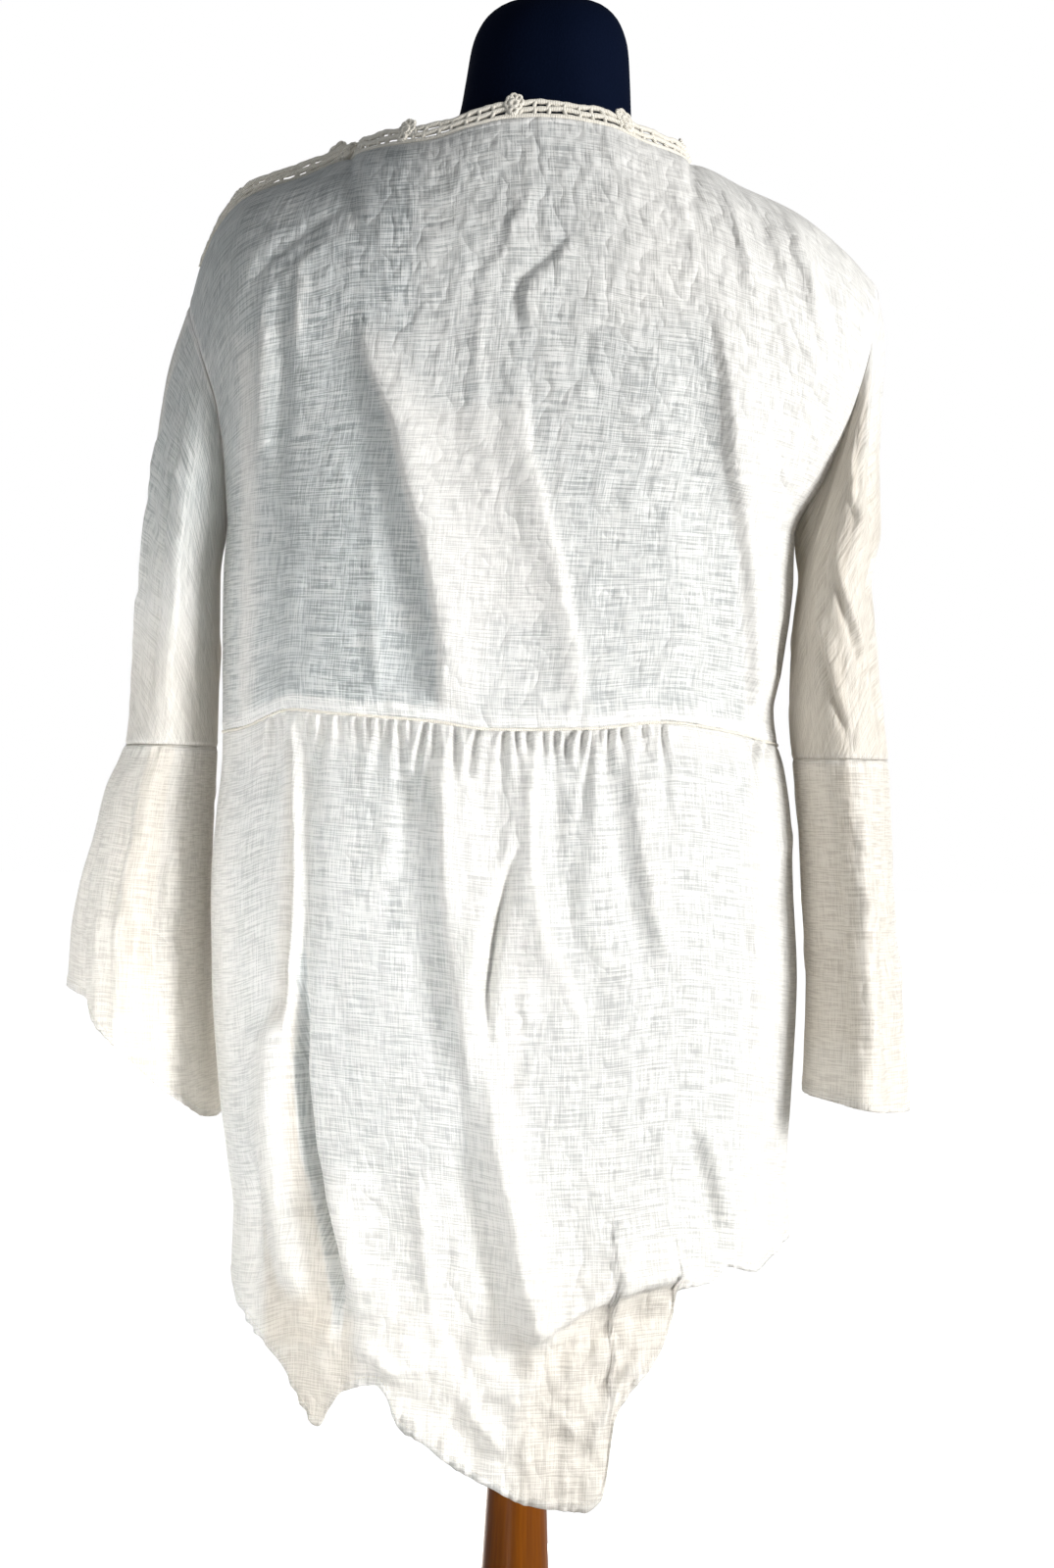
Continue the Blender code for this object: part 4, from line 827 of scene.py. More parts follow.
@dataclass(frozen=True)
class Linen:
    """Washed, slubby plain weave that lets some light through, with painted shade and painted warm glow."""

    light: Colour = (0.97, 0.965, 0.95, 1.0)
    dark: Colour = (0.69, 0.69, 0.68, 1.0)
    # Colours of the painted shade, cool, and of the painted warm glow and warm shade
    painted_shade_light: Colour = (0.78, 0.81, 0.82, 1.0)
    painted_shade_dark: Colour = (0.35, 0.385, 0.4, 1.0)
    painted_warm_light: Colour = (0.83, 0.785, 0.715, 1.0)
    painted_warm_dark: Colour = (0.56, 0.51, 0.445, 1.0)
    through: Colour = (0.97, 0.945, 0.885, 1.0)
    glow: float = 0.34
    roughness: float = 0.86
    warp: Triple = (1020.0, 52.0, 1.0)
    weft: Triple = (36.0, 980.0, 1.0)
    fine_warp: Triple = (1500.0, 110.0, 1.0)
    fine_weft: Triple = (110.0, 1500.0, 1.0)
    clouds: Triple = (52.0, 38.0, 1.0)
    crumples: Triple = (44.0, 30.0, 1.0)

    def material(self) -> Material:
        """Build it: streaks along both threads steer the colour and the relief.

        Painted light, from its attribute, steers the colour. Above 0 the cloth is painted cooler and
        darker, as painted shade for the dark form seen through it and for shade, and its thick threads
        stand out pale against it. Below 0 it is painted warm, as glow of light through it and warm shade.
        Doubled cloth hides the painted shade.
        """
        g = Graph(bpy.data.materials.new("slubby_linen"))
        weave = g.read("ShaderNodeUVMap", "UV", {"uv_map": "weave"})
        layers, close = (Value(g, g.read("ShaderNodeAttribute", "Fac", {"attribute_name": name}))
                         for name in ("layers", "close"))
        warp, weft = (g.noise(weave, steps, 1.0, "2D") for steps in (self.warp, self.weft))
        threads = g.noise(weave, self.fine_warp, 0.0, "2D") + g.noise(weave, self.fine_weft, 0.0, "2D")
        cloudy, crumple = (g.noise(weave, steps, 2.0, "2D") for steps in (self.clouds, self.crumples))
        slubs = warp * 0.8 + weft * 1.15
        shade = (slubs * 2.8 + threads * 0.8 + cloudy * 0.45 + 0.66).clamped()
        # Share of the painted shade: none on doubled cloth, less on thick threads
        painted_shade = (close * (1.0 - layers) - slubs * close * 0.9 + cloudy * close * 0.8).clamped()
        # Painted warm glow and warm shade below 0, then painted cool shade above 0
        with_painted_warmth = g.blend((close * -1.0).clamped(), g.blend(shade, self.dark, self.light),
                       g.blend(shade, self.painted_warm_dark, self.painted_warm_light))
        colour = g.blend(painted_shade, with_painted_warmth, g.blend(shade, self.painted_shade_dark, self.painted_shade_light))
        cloth = g.node("ShaderNodeBsdfPrincipled", {}, {
            "Base Color": colour, "Roughness": self.roughness, "Specular IOR Level": 0.25,
            "Sheen Weight": 0.15, "Sheen Roughness": 0.6,
            "Normal": g.bump(slubs * 0.0004 + crumple.math("ABSOLUTE") * 0.0065, 1.0)})
        glow = g.node("ShaderNodeBsdfTranslucent", {}, {"Color": self.through})
        share = (painted_shade * 0.02 + layers * -0.12 + self.glow).clamped()
        lit = g.node("ShaderNodeMixShader", {}, {0: share, 1: cloth.outputs[0], 2: glow.outputs[0]})
        return g.finish(lit.outputs[0])


@dataclass(frozen=True)
class CottonCord:
    """Wrapped cotton cord of the neck lace."""

    light: Colour = (0.92, 0.885, 0.8, 1.0)
    dark: Colour = (0.62, 0.56, 0.46, 1.0)
    wraps_per_metre: float = 900.0

    def material(self) -> Material:
        """Build it: slanted wraps run round each cord, as relief and as painted shade between them, over a
        fuzzy tone.
        """
        g = Graph(bpy.data.materials.new("cotton_cord"))
        along = g.read("ShaderNodeUVMap", "UV", {"uv_map": "cord"})
        parts = g.node("ShaderNodeSeparateXYZ", {}, {0: along})
        length, turn = Value(g, parts.outputs[0]), Value(g, parts.outputs[1])
        wraps = ((length * self.wraps_per_metre + turn) * (2 * math.pi)).math("SINE")
        fuzz = g.noise(g.read("ShaderNodeTexCoord", "Object"), (900.0, 900.0, 900.0))
        # The wraps darken the colour between them as painted shade; the fuzz is random tone
        shade = (wraps * 0.16 + fuzz * 0.7 + 0.72).clamped()
        cord = g.node("ShaderNodeBsdfPrincipled", {}, {
            "Base Color": g.blend(shade, self.dark, self.light), "Roughness": 0.8,
            "Specular IOR Level": 0.25, "Sheen Weight": 0.3,
            "Normal": g.bump(wraps + fuzz * 2.0, 0.0003, 0.7)})
        return g.finish(cord.outputs[0])


@dataclass(frozen=True)
class Jersey:
    """Near-black navy knitted cover of the form."""

    colour: Colour = (0.0012, 0.003, 0.0105, 1.0)
    faded: Colour = (0.0032, 0.0062, 0.019, 1.0)

    def material(self) -> Material:
        """Build it: fine upright ribs of loops and a little fading."""
        g = Graph(bpy.data.materials.new("navy_jersey"))
        place = g.read("ShaderNodeTexCoord", "Object")
        loops = g.noise(place, (900.0, 900.0, 420.0), 1.0)
        fading = g.noise(place, (14.0, 14.0, 9.0), 2.0)
        shade = (fading * 1.4 + loops * 0.5 + 0.35).clamped()
        cover = g.node("ShaderNodeBsdfPrincipled", {}, {
            "Base Color": g.blend(shade, self.colour, self.faded), "Roughness": 0.85,
            "Specular IOR Level": 0.02, "Normal": g.bump(loops, 0.0004, 0.6)})
        return g.finish(cover.outputs[0])


@dataclass(frozen=True)
class Wood:
    """Turned wood with its grain along the pole."""

    name: str
    light: Colour
    dark: Colour
    roughness: float = 0.4

    def material(self) -> Material:
        """Build it: long streaks of grain with fine pores."""
        g = Graph(bpy.data.materials.new(self.name))
        place = g.read("ShaderNodeTexCoord", "Object")
        streaks = g.noise(place, (70.0, 70.0, 3.0), 4.0)
        pores = g.noise(place, (520.0, 520.0, 14.0), 2.0)
        shade = (streaks * 1.8 + pores * 0.7 + 0.5).clamped()
        wood = g.node("ShaderNodeBsdfPrincipled", {}, {
            "Base Color": g.blend(shade, self.dark, self.light),
            "Roughness": (pores * 0.25 + self.roughness).clamped(0.15, 0.8),
            "Coat Weight": (streaks * 0.2 + 0.05).clamped(), "Coat Roughness": 0.3,
            "Specular IOR Level": 0.05, "Normal": g.bump(pores + streaks, 0.0004, 0.5)})
        return g.finish(wood.outputs[0])


@dataclass
class Wardrobe:
    """The finishes, each made once."""

    linen: Material = field(default_factory=lambda: Linen().material())
    cord: Material = field(default_factory=lambda: CottonCord().material())
    jersey: Material = field(default_factory=lambda: Jersey().material())
    pole: Material = field(default_factory=lambda: Wood(
        "stained_pole_wood", (0.2, 0.056, 0.0008, 1.0), (0.07, 0.016, 0.0004, 1.0)).material())
    knob: Material = field(default_factory=lambda: Wood(
        "pale_knob_wood", (0.58, 0.42, 0.3, 1.0), (0.36, 0.23, 0.14, 1.0)).material())


def place_piece(mesh: Mesh, material: Material, finish: Finish,
                stands_for: tuple[str, ...]) -> bpy.types.Object:
    """Put a mesh into the scene as a piece that rides on the part and stands for its solids.

    Args:
        mesh: the finished mesh, named as the piece.
        material: its material.
        finish: the record's slot meant for it; not used.
        stands_for: solids that it replaces.

    Returns:
        The piece.
    """
    mesh.shade_smooth()
    mesh.materials.append(material)
    piece = bpy.data.objects.new(mesh.name, mesh)
    bpy.context.scene.collection.objects.link(piece)
    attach(piece, "root")
    if stands_for:
        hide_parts(*stands_for)
    LOG.info("%s: %d faces", mesh.name, len(mesh.polygons))
    return piece


@dataclass(frozen=True)
class Cut:
    """Flat piece that a panel is sewn from: the sides of its bounding rectangle, and its own area."""

    width: float
    length: float
    area: float


@dataclass
class ClothGrid:
    """A stretch of cloth as a grid.

    It holds outer points, thread coordinates, the share of doubled cloth and the painted shade and warm
    glow.
    """

    name: str
    points: Array
    weave: Array
    layers: Array
    axis: Array
    around: bool = False
    close: Array | float = 0.0

    def normals(self) -> Array:
        """Outward normals of the grid."""
        return grid_normals(self.points, self.around, self.axis)

    def raise_by(self, lift: Array) -> None:
        """Move the points out along their normals."""
        self.points = self.points + self.normals() * lift[..., None]

    def mesh(self) -> Mesh:
        """Make the grid's quads, turned outwards, with its thread map, layers and painted light."""
        rows, columns = self.points.shape[:2]
        quads = grid_quads(rows, columns, self.around)
        corners = grid_quads(rows, self.weave.shape[1], False)
        across = np.gradient(self.points, axis=1)
        facing = np.cross(across, np.gradient(self.points, axis=0))[1:-1, 1:-1]
        if (facing * self.normals()[1:-1, 1:-1]).sum() < 0:
            quads, corners = quads[..., ::-1], corners[..., ::-1]
        mesh = bpy.data.meshes.new(self.name)
        mesh.from_pydata(self.points.reshape(-1, 3).tolist(), [], quads.reshape(-1, 4).tolist())
        threads = mesh.uv_layers.new(name="weave")
        threads.data.foreach_set("uv", self.weave.reshape(-1, 2)[corners.reshape(-1)].ravel())
        # The second attribute is the painted shade and painted warm glow, for the linen's colour
        for name, values in (("layers", self.layers), ("close", self.close + 0 * self.layers)):
            mesh.attributes.new(name, "FLOAT", "POINT").data.foreach_set("value", values.ravel())
        return mesh

    def dress(self, wardrobe: Wardrobe, cut: Cut) -> None:
        """Make the cloth with a thin wall, for the solid of its name."""
        word, part = self.name.split("_")
        piece = place_piece(self.mesh(), wardrobe.linen, Finish.LINEN, (f"{part}_{word}",))
        wall = piece.modifiers.new("wall", "SOLIDIFY")
        wall.thickness = CLOTH
        wall.offset = -1.0


@dataclass
class BodyHalf:
    """Back or front of the tunic's body: a bodice panel and a skirt panel gathered to it."""

    word: str
    sign: float
    neck: Table
    neck_size: float
    bulge: float
    waist: Table
    hem: Table
    depth_column: int
    bodice_folds: tuple[Fold, ...]
    skirt_folds: tuple[Fold, ...]
    bodice_shades: tuple[Shade, ...]
    skirt_shades: tuple[Shade, ...]
    gathers: tuple[float, ...]
    bodice_cut: Cut
    skirt_cut: Cut
    seed: int
    arm_rows: int = 96
    side_rows: int = 60
    bodice_step: float = 0.0155
    skirt_columns: int = 325
    skirt_rows: int = 150
    bodice: ClothGrid = field(init=False)
    skirt: ClothGrid = field(init=False)

    def __post_init__(self) -> None:
        """Work out both panels."""
        self.bodice = self.make_bodice()
        self.skirt = self.make_skirt()

    def depth(self, heights: Array) -> Array:
        """Depth of this half at given heights."""
        return curve(BODY_DEPTHS, self.depth_column, heights)

    def bodice_shares(self) -> Array:
        """Shares across the bodice: sines of even angles, with one at each neck point."""
        right, left = SHOULDER_LINE[0][0], SHOULDER_LINE[-1][0]
        middle, half = (left + right) / 2, (left - right) / 2
        corners = [-math.pi / 2, math.asin((NECK_RIGHT - middle) / half),
                   math.asin((NECK_LEFT - middle) / half), math.pi / 2]
        return np.sin(fill_steps(corners, self.bodice_step))

    def bodice_form(self) -> Array:
        """Smooth bodice from the neck and shoulder line down to the waist seam.

        Rows run evenly from the top edge to the underarm and on to the waist. Across, each row
        is a superellipse as deep as the body, and the top rolls over to the neck and shoulder.
        """
        shares = self.bodice_shares()
        right, left = SHOULDER_LINE[0][0], SHOULDER_LINE[-1][0]
        top_x = between(left, right, shares)
        in_neck = (top_x > NECK_RIGHT + 1e-6) & (top_x < NECK_LEFT - 1e-6)
        top_z = np.where(in_neck, curve(self.neck, 1, top_x), curve(SHOULDER_LINE, 1, top_x))
        top_y = np.where(in_neck, self.neck_size * neck_depth(top_x), 0.0)
        waist_z = curve(self.waist, 1, between(self.waist[-1][0], self.waist[0][0], shares))
        arm = np.linspace(0, 1, self.arm_rows + 1)[:, None]
        side = np.linspace(0, 1, self.side_rows + 1)[1:, None]
        z = np.concatenate([top_z + (UNDERARM - top_z) * arm ** TOP_CROWDING,
                            UNDERARM + (waist_z - UNDERARM) * side])
        edge = np.concatenate([self.bulge * np.abs(np.sin(math.pi * arm ** 0.8)) ** 0.8, side * 0])
        edge_left, edge_right = curve(BODY_SIDES, 1, z[:, -1]), curve(BODY_SIDES, 2, z[:, 0])
        edge_left[0], edge_right[0] = left, right
        x = between(edge_left[:, None], edge_right[:, None], shares)
        round_off = np.sqrt(1 - (1 - np.minimum((top_z - z) / BLADE_DROP, 1)) ** 2)
        body = edge + (self.depth(z) - edge) * body_swell(shares)
        y = top_y * (1 - round_off) + body * round_off
        return np.stack([x, self.sign * np.maximum(y, SEAM_GAP / 2), z], axis=-1)

    def make_bodice(self) -> ClothGrid:
        """Bodice panel with folds, crinkles, turned neck edge and seam allowances."""
        points = self.bodice_form()
        rows, columns = points.shape[:2]
        shares = self.bodice_shares()
        down, across = run_length(points, 0), run_length(points, 1)
        middle = columns // 2
        weave = np.stack([across - across[:, middle:middle + 1],
                          down[:, middle:middle + 1] + 0 * across], axis=-1)
        up, in_side = down[-1] - down, np.minimum(across, across[:, -1:] - across)
        neck = (points[0, :, 0] > NECK_RIGHT) & (points[0, :, 0] < NECK_LEFT)
        turned = np.where(neck, band(down, NECK_TURN), 0.0)
        layers = np.maximum(turned, np.maximum(band(up, WAIST_ALLOWANCE), band(in_side, SIDE_ALLOWANCE)))
        cloth = ClothGrid(f"{self.word}_bodice", points, weave, layers, AXIS)
        place = np.linspace(0, 1, rows)[:, None]
        free = (smooth_step((1 - np.abs(shares)) / EDGE_FADE) * smooth_step(place / 0.15)
                * smooth_step((1 - place) / 0.1))
        crinkles = Crinkles(self.seed, count=90, low=(-0.2, 1.0), high=(0.22, 1.36)).folds()
        calm = smooth_step(in_side / 0.012) * smooth_step(down / 0.02) * smooth_step(up / 0.006)
        flat = points[..., (0, 2)]
        lift = fold_lift(flat, self.bodice_folds) * free + fold_lift(flat, crinkles) * calm
        dip = seam_dip(up, 0.0009, 0.0022) + seam_dip(in_side, 0.0007)
        pucker = ripple(points[..., 0], 0.0005, (900, 3, 210), up, 0.006)
        # Painted shade and warm glow, with less of the painted shade on raised folds
        cloth.close = painted_light_map(flat, self.bodice_shades) * (1 - 0.8 * smooth_step(lift / 0.006))
        cloth.raise_by(lift + layers * 0.0004 - dip + pucker * smooth_step(in_side / 0.01))
        return cloth

    def gather_lift(self, points: Array, below: Array) -> Array:
        """Height of the gathers: narrow tucks that start at the seam, fan out and fade.

        Each tuck is a bell across, a soft start and a falling exponential down, with its own
        width, depth, length and drift, and a low ridge on either side.
        """
        rng = np.random.default_rng(self.seed + 7)
        lift = np.zeros(below.shape)
        for crest in self.gathers:
            length = rng.choice([rng.uniform(*limits) for limits in GATHER_LENGTHS])
            depth = rng.uniform(*GATHER_DEPTHS)
            half_width = rng.uniform(*GATHER_HALF_WIDTHS)
            drift = (crest - BODY_AXIS) * 0.25 + rng.normal(0, 0.1)
            spread = half_width * (1 + below / GATHER_SPREAD)
            offset = (points[..., 0] - crest - drift * below) / spread
            fade = smooth_step(below / 0.003) * np.exp(-(below / length) ** 1.2)
            lift -= depth * fade * (np.exp(-offset ** 2) - 0.4 * np.exp(-(np.abs(offset) - 1.9) ** 2))
        return lift

    def skirt_form(self) -> tuple[Array, Array, Array]:
        """Smooth skirt from the bodice's seam down to the hem.

        Returns:
            The points, the shares across them, and the drop below the seam.
        """
        shares = np.sin(np.linspace(-math.pi / 2, math.pi / 2, self.skirt_columns))
        seam = self.bodice_form()[-1]
        hem_z = curve(self.hem, 1, between(self.hem[-1][0], self.hem[0][0], shares))
        waist_x = between(seam[-1, 0], seam[0, 0], shares)
        waist_z = np.interp(waist_x, seam[:, 0], seam[:, 2]) - WAIST_GAP
        waist_y = np.interp(waist_x, seam[:, 0], np.abs(seam[:, 1]))
        fall = np.linspace(0, 1, self.skirt_rows)[:, None] ** HEM_SPREADING
        z = waist_z + (hem_z - waist_z) * fall
        low = smooth_step((waist_z - z) / WAIST_EASE)
        left, right = (curve(BODY_SIDES, column, z[:, end])[:, None] * (1 - low)
                       + curve(BODY_SIDES, column, np.maximum(z, z[-1, end])) * low
                       for column, end in ((1, -1), (2, 0)))
        left[0], right[0] = seam[-1, 0], seam[0, 0]
        x = between(left, right, shares)
        y = np.maximum(self.depth(z) * body_swell(shares), SEAM_GAP / 2)
        y[0] = np.maximum(waist_y, SEAM_GAP / 2)
        return np.stack([x, self.sign * y, z], axis=-1), shares, waist_z - z

    def make_skirt(self) -> ClothGrid:
        """Skirt panel with gathers, folds, crinkles and a narrow hem."""
        points, shares, below = self.skirt_form()
        down, across = run_length(points, 0), run_length(points, 1)
        up, in_side = down[-1] - down, np.minimum(across, across[:, -1:] - across)
        spread = run_length(points * (1.0, 1.0, 0.0), 1)[int(self.skirt_rows * 0.6)]
        weave = np.stack([spread - spread[len(spread) // 2] + 0 * down, down], axis=-1)
        layers = np.maximum(band(up, SKIRT_HEM), band(in_side, SKIRT_SIDE_ALLOWANCE) * 0.8)
        cloth = ClothGrid(f"{self.word}_skirt", points, weave, layers, AXIS)
        flat = points[..., (0, 2)]
        free = smooth_step((1 - np.abs(shares)) / EDGE_FADE) * smooth_step(below / 0.05)
        crinkles = Crinkles(self.seed + 3, count=110, low=(-0.18, 0.5), high=(0.2, 0.95),
                            height=0.0013).folds()
        crinkles += Crinkles(self.seed + 4, count=70, low=(-0.16, 0.47), high=(0.17, 0.63),
                             height=0.0028, slant=0.9).folds()
        calm = smooth_step(in_side / 0.012) * smooth_step(down / 0.02)
        lift = fold_lift(flat, self.skirt_folds) * free + fold_lift(flat, crinkles) * calm
        # Painted shade and warm glow, with less of the painted shade on raised folds
        cloth.close = painted_light_map(flat, self.skirt_shades) * (1 - 0.8 * smooth_step(lift / 0.007))
        lift += self.gather_lift(points, below) * smooth_step(in_side / 0.01)
        lift -= seam_dip(down, 0.0009) + seam_dip(in_side, 0.0007)
        pucker = ripple(points[..., 0], 0.0011, (610, 2.5, 170), up, 0.01)
        cloth.raise_by(lift + band(up, SKIRT_HEM) * 0.0005 + pucker)
        return cloth

    def dress(self, wardrobe: Wardrobe) -> None:
        """Make both panels."""
        self.bodice.dress(wardrobe, self.bodice_cut)
        self.skirt.dress(wardrobe, self.skirt_cut)


def sleeve_section(table: Table, angles: Array, heights: Array) -> Array:
    """Points of a sleeve's flattened round section.

    Angle 0 is the outer side and a quarter turn the back: x is the cosine between the outer and
    inner edge, y the sine times the half-depth.
    """
    outer, inner = curve(table, 1, heights), curve(table, 2, heights)
    x = between(outer, inner, np.cos(angles))
    y = curve(table, 3, heights) + curve(table, 4, heights) * np.sin(angles)
    return np.stack([x, y, np.broadcast_to(heights, x.shape)], axis=-1)


@dataclass
class Sleeve:
    """A dropped sleeve with a flounce, sewn into the armhole of the body."""

    word: str
    sign: float
    table: Table
    hem_height: float
    hem_rise: float
    hem_waves: int
    hem_wave_height: float
    sleeve_folds: tuple[Fold, ...]
    flounce_folds: tuple[Fold, ...]
    sleeve_shades: tuple[Shade, ...]
    flounce_shades: tuple[Shade, ...]
    sleeve_cut: Cut
    flounce_cut: Cut
    seed: int
    cap_rows: int = 48
    lower_rows: int = 44
    flounce_rows: int = 74
    flounce_columns: int = 160
    girth: float = 0.36

    def flat_places(self, angles: Array, heights: Array) -> Array:
        """Places over the sleeve in metres: turns times the girth, and height."""
        turns = np.broadcast_to(angles / (2 * math.pi) * self.girth, heights.shape)
        return np.stack([turns, heights], axis=-1)

    def folded(self, folds: tuple[Fold, ...], seed: int, low: float, high: float) -> list[Fold]:
        """Turn folds given along (turns, height) into metres and add chance crinkles."""
        own = [Fold(f.half_width, f.height, tuple((t * self.girth, z) for t, z in f.line), f.lean)
               for f in folds]
        return own + Crinkles(seed, count=60, low=(0.02, low), high=(self.girth - 0.02, high),
                              height=0.0024, slant=0.7).folds()

    def armhole(self, back: BodyHalf, front: BodyHalf) -> Array:
        """Armhole's edge as one loop: shoulder, down the back, underarm, up the front."""
        column = -1 if self.sign > 0 else 0
        rows = back.arm_rows
        loop = np.concatenate([back.bodice_form()[:rows + 1, column],
                               front.bodice_form()[rows - 1:0:-1, column]])
        loop[0, 1] = loop[rows, 1] = 0.0
        end_x, end_z = SHOULDER_LINE[column]
        under_x = float(curve(BODY_SIDES, 1 if self.sign > 0 else 2, np.array(UNDERARM)))
        out = unit(np.array((self.sign * (end_z - UNDERARM), 0.0, abs(under_x) - abs(end_x))))
        return loop + out * SEAM_GAP

    def sleeve_form(self, loop: Array) -> tuple[Array, Array]:
        """Smooth sleeve from the armhole to the flounce seam.

        The cap blends from the armhole's loop to the sleeve's own section, and the rest follows it.

        Returns:
            The points and the angle of each column.
        """
        angles = even_angles(len(loop))
        start = sleeve_section(self.table, angles, loop[:, 2])
        share = np.linspace(0, 1, self.cap_rows + 1)[:, None]
        heights = loop[:, 2] + (CAP_END - loop[:, 2]) * share
        hold = (1 - smooth_step(share))[..., None] * np.array((1.0, 1.0, 0.0))
        cap = sleeve_section(self.table, angles, heights) + (loop - start) * hold
        lower = np.linspace(CAP_END, FLOUNCE_SEAM, self.lower_rows + 1)[1:, None] + 0 * angles
        return np.concatenate([cap, sleeve_section(self.table, angles, lower)]), angles

    def inner_calm(self, angles: Array) -> Array:
        """Share of a fold's height that is kept: all on the outer side, a third next to the body."""
        return INNER_SHARE + (1 - INNER_SHARE) * (0.5 + 0.5 * np.cos(angles)) ** 0.6

    def make_sleeve(self, loop: Array) -> ClothGrid:
        """Sleeve with folds, crinkles and seam allowances at both ends."""
        points, angles = self.sleeve_form(loop)
        down = run_length(points, 0)
        up = down[-1] - down
        weave = np.stack([run_length(closed(points), 1), closed(down)], axis=-1)
        layers = np.maximum(band(down, CAP_ALLOWANCE), band(up, SLEEVE_END_ALLOWANCE))
        cloth = ClothGrid(f"{self.word}_sleeve", points, weave, layers, self.axis(), True)
        flat = self.flat_places(angles, points[..., 2])
        # Painted shade and warm glow of the sleeve
        cloth.close = painted_light_map(flat, self.sleeve_shades)
        folds = self.folded(self.sleeve_folds, self.seed, 0.99, 1.24)
        lift = fold_lift(flat, folds) * self.inner_calm(angles) * smooth_step(down / 0.03)
        lift = lift * smooth_step(up / 0.012) - (seam_dip(down, 0.0007) + seam_dip(up, 0.0008))
        cloth.raise_by(lift + layers * 0.0003)
        return cloth

    def flounce_form(self, seam: Array) -> tuple[Array, Array]:
        """Smooth flounce from its seam down to a waved, slanting hem.

        Returns:
            The points and the angle of each column.
        """
        angles = even_angles(self.flounce_columns)
        place = angles / (2 * math.pi) * len(seam)
        top = read_path(place, np.arange(len(seam) + 1), np.concatenate([seam, seam[:1]]))
        top[:, 2] -= SEAM_GAP
        share = np.linspace(0, 1, self.flounce_rows + 1)[:, None]
        heights = top[:, 2] + (self.hem_height + self.hem_rise * np.cos(angles) - top[:, 2]) * share
        points = sleeve_section(self.table, angles, heights)
        clear = 0.5 + 0.5 * np.cos(angles)
        size = self.hem_wave_height * share
        wave = size * np.sin(self.hem_waves * angles + 0.6) * (0.35 + 0.65 * clear)
        outward = np.stack([np.cos(angles) * self.sign, np.sin(angles), 0 * angles], axis=-1)
        points = points + outward * (wave - size * (1 - clear) * 0.2)[..., None]
        points[0] = top
        return points, angles

    def make_flounce(self, seam: Array) -> ClothGrid:
        """Flounce with small gathers under its seam, folds and a narrow hem."""
        points, angles = self.flounce_form(seam)
        down = run_length(points, 0)
        up = down[-1] - down
        girths = run_length(closed(points), 1)[self.flounce_rows // 2]
        weave = np.stack([girths + 0 * closed(down), closed(down)], axis=-1)
        layers = np.maximum(band(down, FLOUNCE_ALLOWANCE), band(up, FLOUNCE_HEM))
        cloth = ClothGrid(f"{self.word}_flounce", points, weave, layers, self.axis(), True)
        flat = self.flat_places(angles, points[..., 2])
        # Painted shade and warm glow of the flounce
        cloth.close = painted_light_map(flat, self.flounce_shades)
        folds = self.folded(self.flounce_folds, self.seed + 5, 0.78, 0.94)
        lift = fold_lift(flat, folds) * self.inner_calm(angles) * smooth_step(down / 0.03)
        gathers = ripple(angles, 0.0009, (23, 1.7, 5), down, 0.018) * smooth_step(down / 0.004)
        lift += gathers * self.inner_calm(angles) - seam_dip(down, 0.0008)
        pucker = ripple(angles, 0.0005, (37, 2, 11), up, 0.008)
        cloth.raise_by(lift + band(up, FLOUNCE_HEM) * 0.0004 + pucker)
        return cloth

    def axis(self) -> Array:
        """Upright axis of the sleeve."""
        return np.array(((self.table[0][1] + self.table[0][2]) / 2, 0.0, 0.0))

    def dress(self, wardrobe: Wardrobe, back: BodyHalf, front: BodyHalf) -> ClothGrid:
        """Make the sleeve and its flounce, and give back the flounce."""
        loop = self.armhole(back, front)
        self.make_sleeve(loop).dress(wardrobe, self.sleeve_cut)
        flounce = self.make_flounce(self.sleeve_form(loop)[0][-1])
        flounce.dress(wardrobe, self.flounce_cut)
        return flounce


@dataclass
class MeshBatch:
    """Many small tubes joined into one mesh."""

    name: str
    points: list[Array] = field(default_factory=list)
    quads: list[Array] = field(default_factory=list)
    places: list[Array] = field(default_factory=list)
    count: int = 0

    def add_tubes(self, paths: Array, outward: Array, radii: Array, sides: int, around: bool) -> None:
        """Add tubes of the same number of rings.

        Each ring is a circle in the plane of the path's side direction and its outward direction,
        and open tubes close to a point at both ends through radii of nearly 0.

        Args:
            paths: points, as tube, ring and xyz.
            outward: outward direction at each point.
            radii: radius at each point.
            sides: corners of each ring.
            around: whether each tube joins its own start.
        """
        tubes, rings = paths.shape[:2]
        run = slope_across(paths, around)
        aside = unit(np.cross(run, outward))
        out = unit(np.cross(aside, run))
        angle = even_angles(sides)
        ring = aside[:, :, None] * np.cos(angle)[:, None] + out[:, :, None] * np.sin(angle)[:, None]
        points = paths[:, :, None] + ring * radii[..., None, None]
        t, r, s = np.mgrid[0:tubes, 0:rings if around else rings - 1, 0:sides]
        nr, ns = (r + 1) % rings, (s + 1) % sides

        def at(tube: Array, ring_index: Array, side: Array) -> Array:
            """Number of a corner."""
            return self.count + (tube * rings + ring_index) * sides + side

        quads = np.stack([at(t, r, s), at(t, r, ns), at(t, nr, ns), at(t, nr, s)], axis=-1)
        step = np.linalg.norm(run, axis=-1)
        start = np.cumsum(step, axis=1)[t, r]
        end = start + step[t, r]
        u = np.stack([start, start, end, end], axis=-1)
        v = np.stack([s, s + 1, s + 1, s], axis=-1) / sides
        self.points.append(points.reshape(-1, 3))
        self.quads.append(quads.reshape(-1, 4))
        self.places.append(np.stack([u, v], axis=-1).reshape(-1, 2))
        self.count += tubes * rings * sides

    def mesh(self, uv_name: str) -> Mesh:
        """Make the joined mesh."""
        mesh = bpy.data.meshes.new(self.name)
        mesh.from_pydata(np.concatenate(self.points).tolist(), [], np.concatenate(self.quads).tolist())
        layer = mesh.uv_layers.new(name=uv_name)
        layer.data.foreach_set("uv", np.concatenate(self.places).ravel())
        return mesh


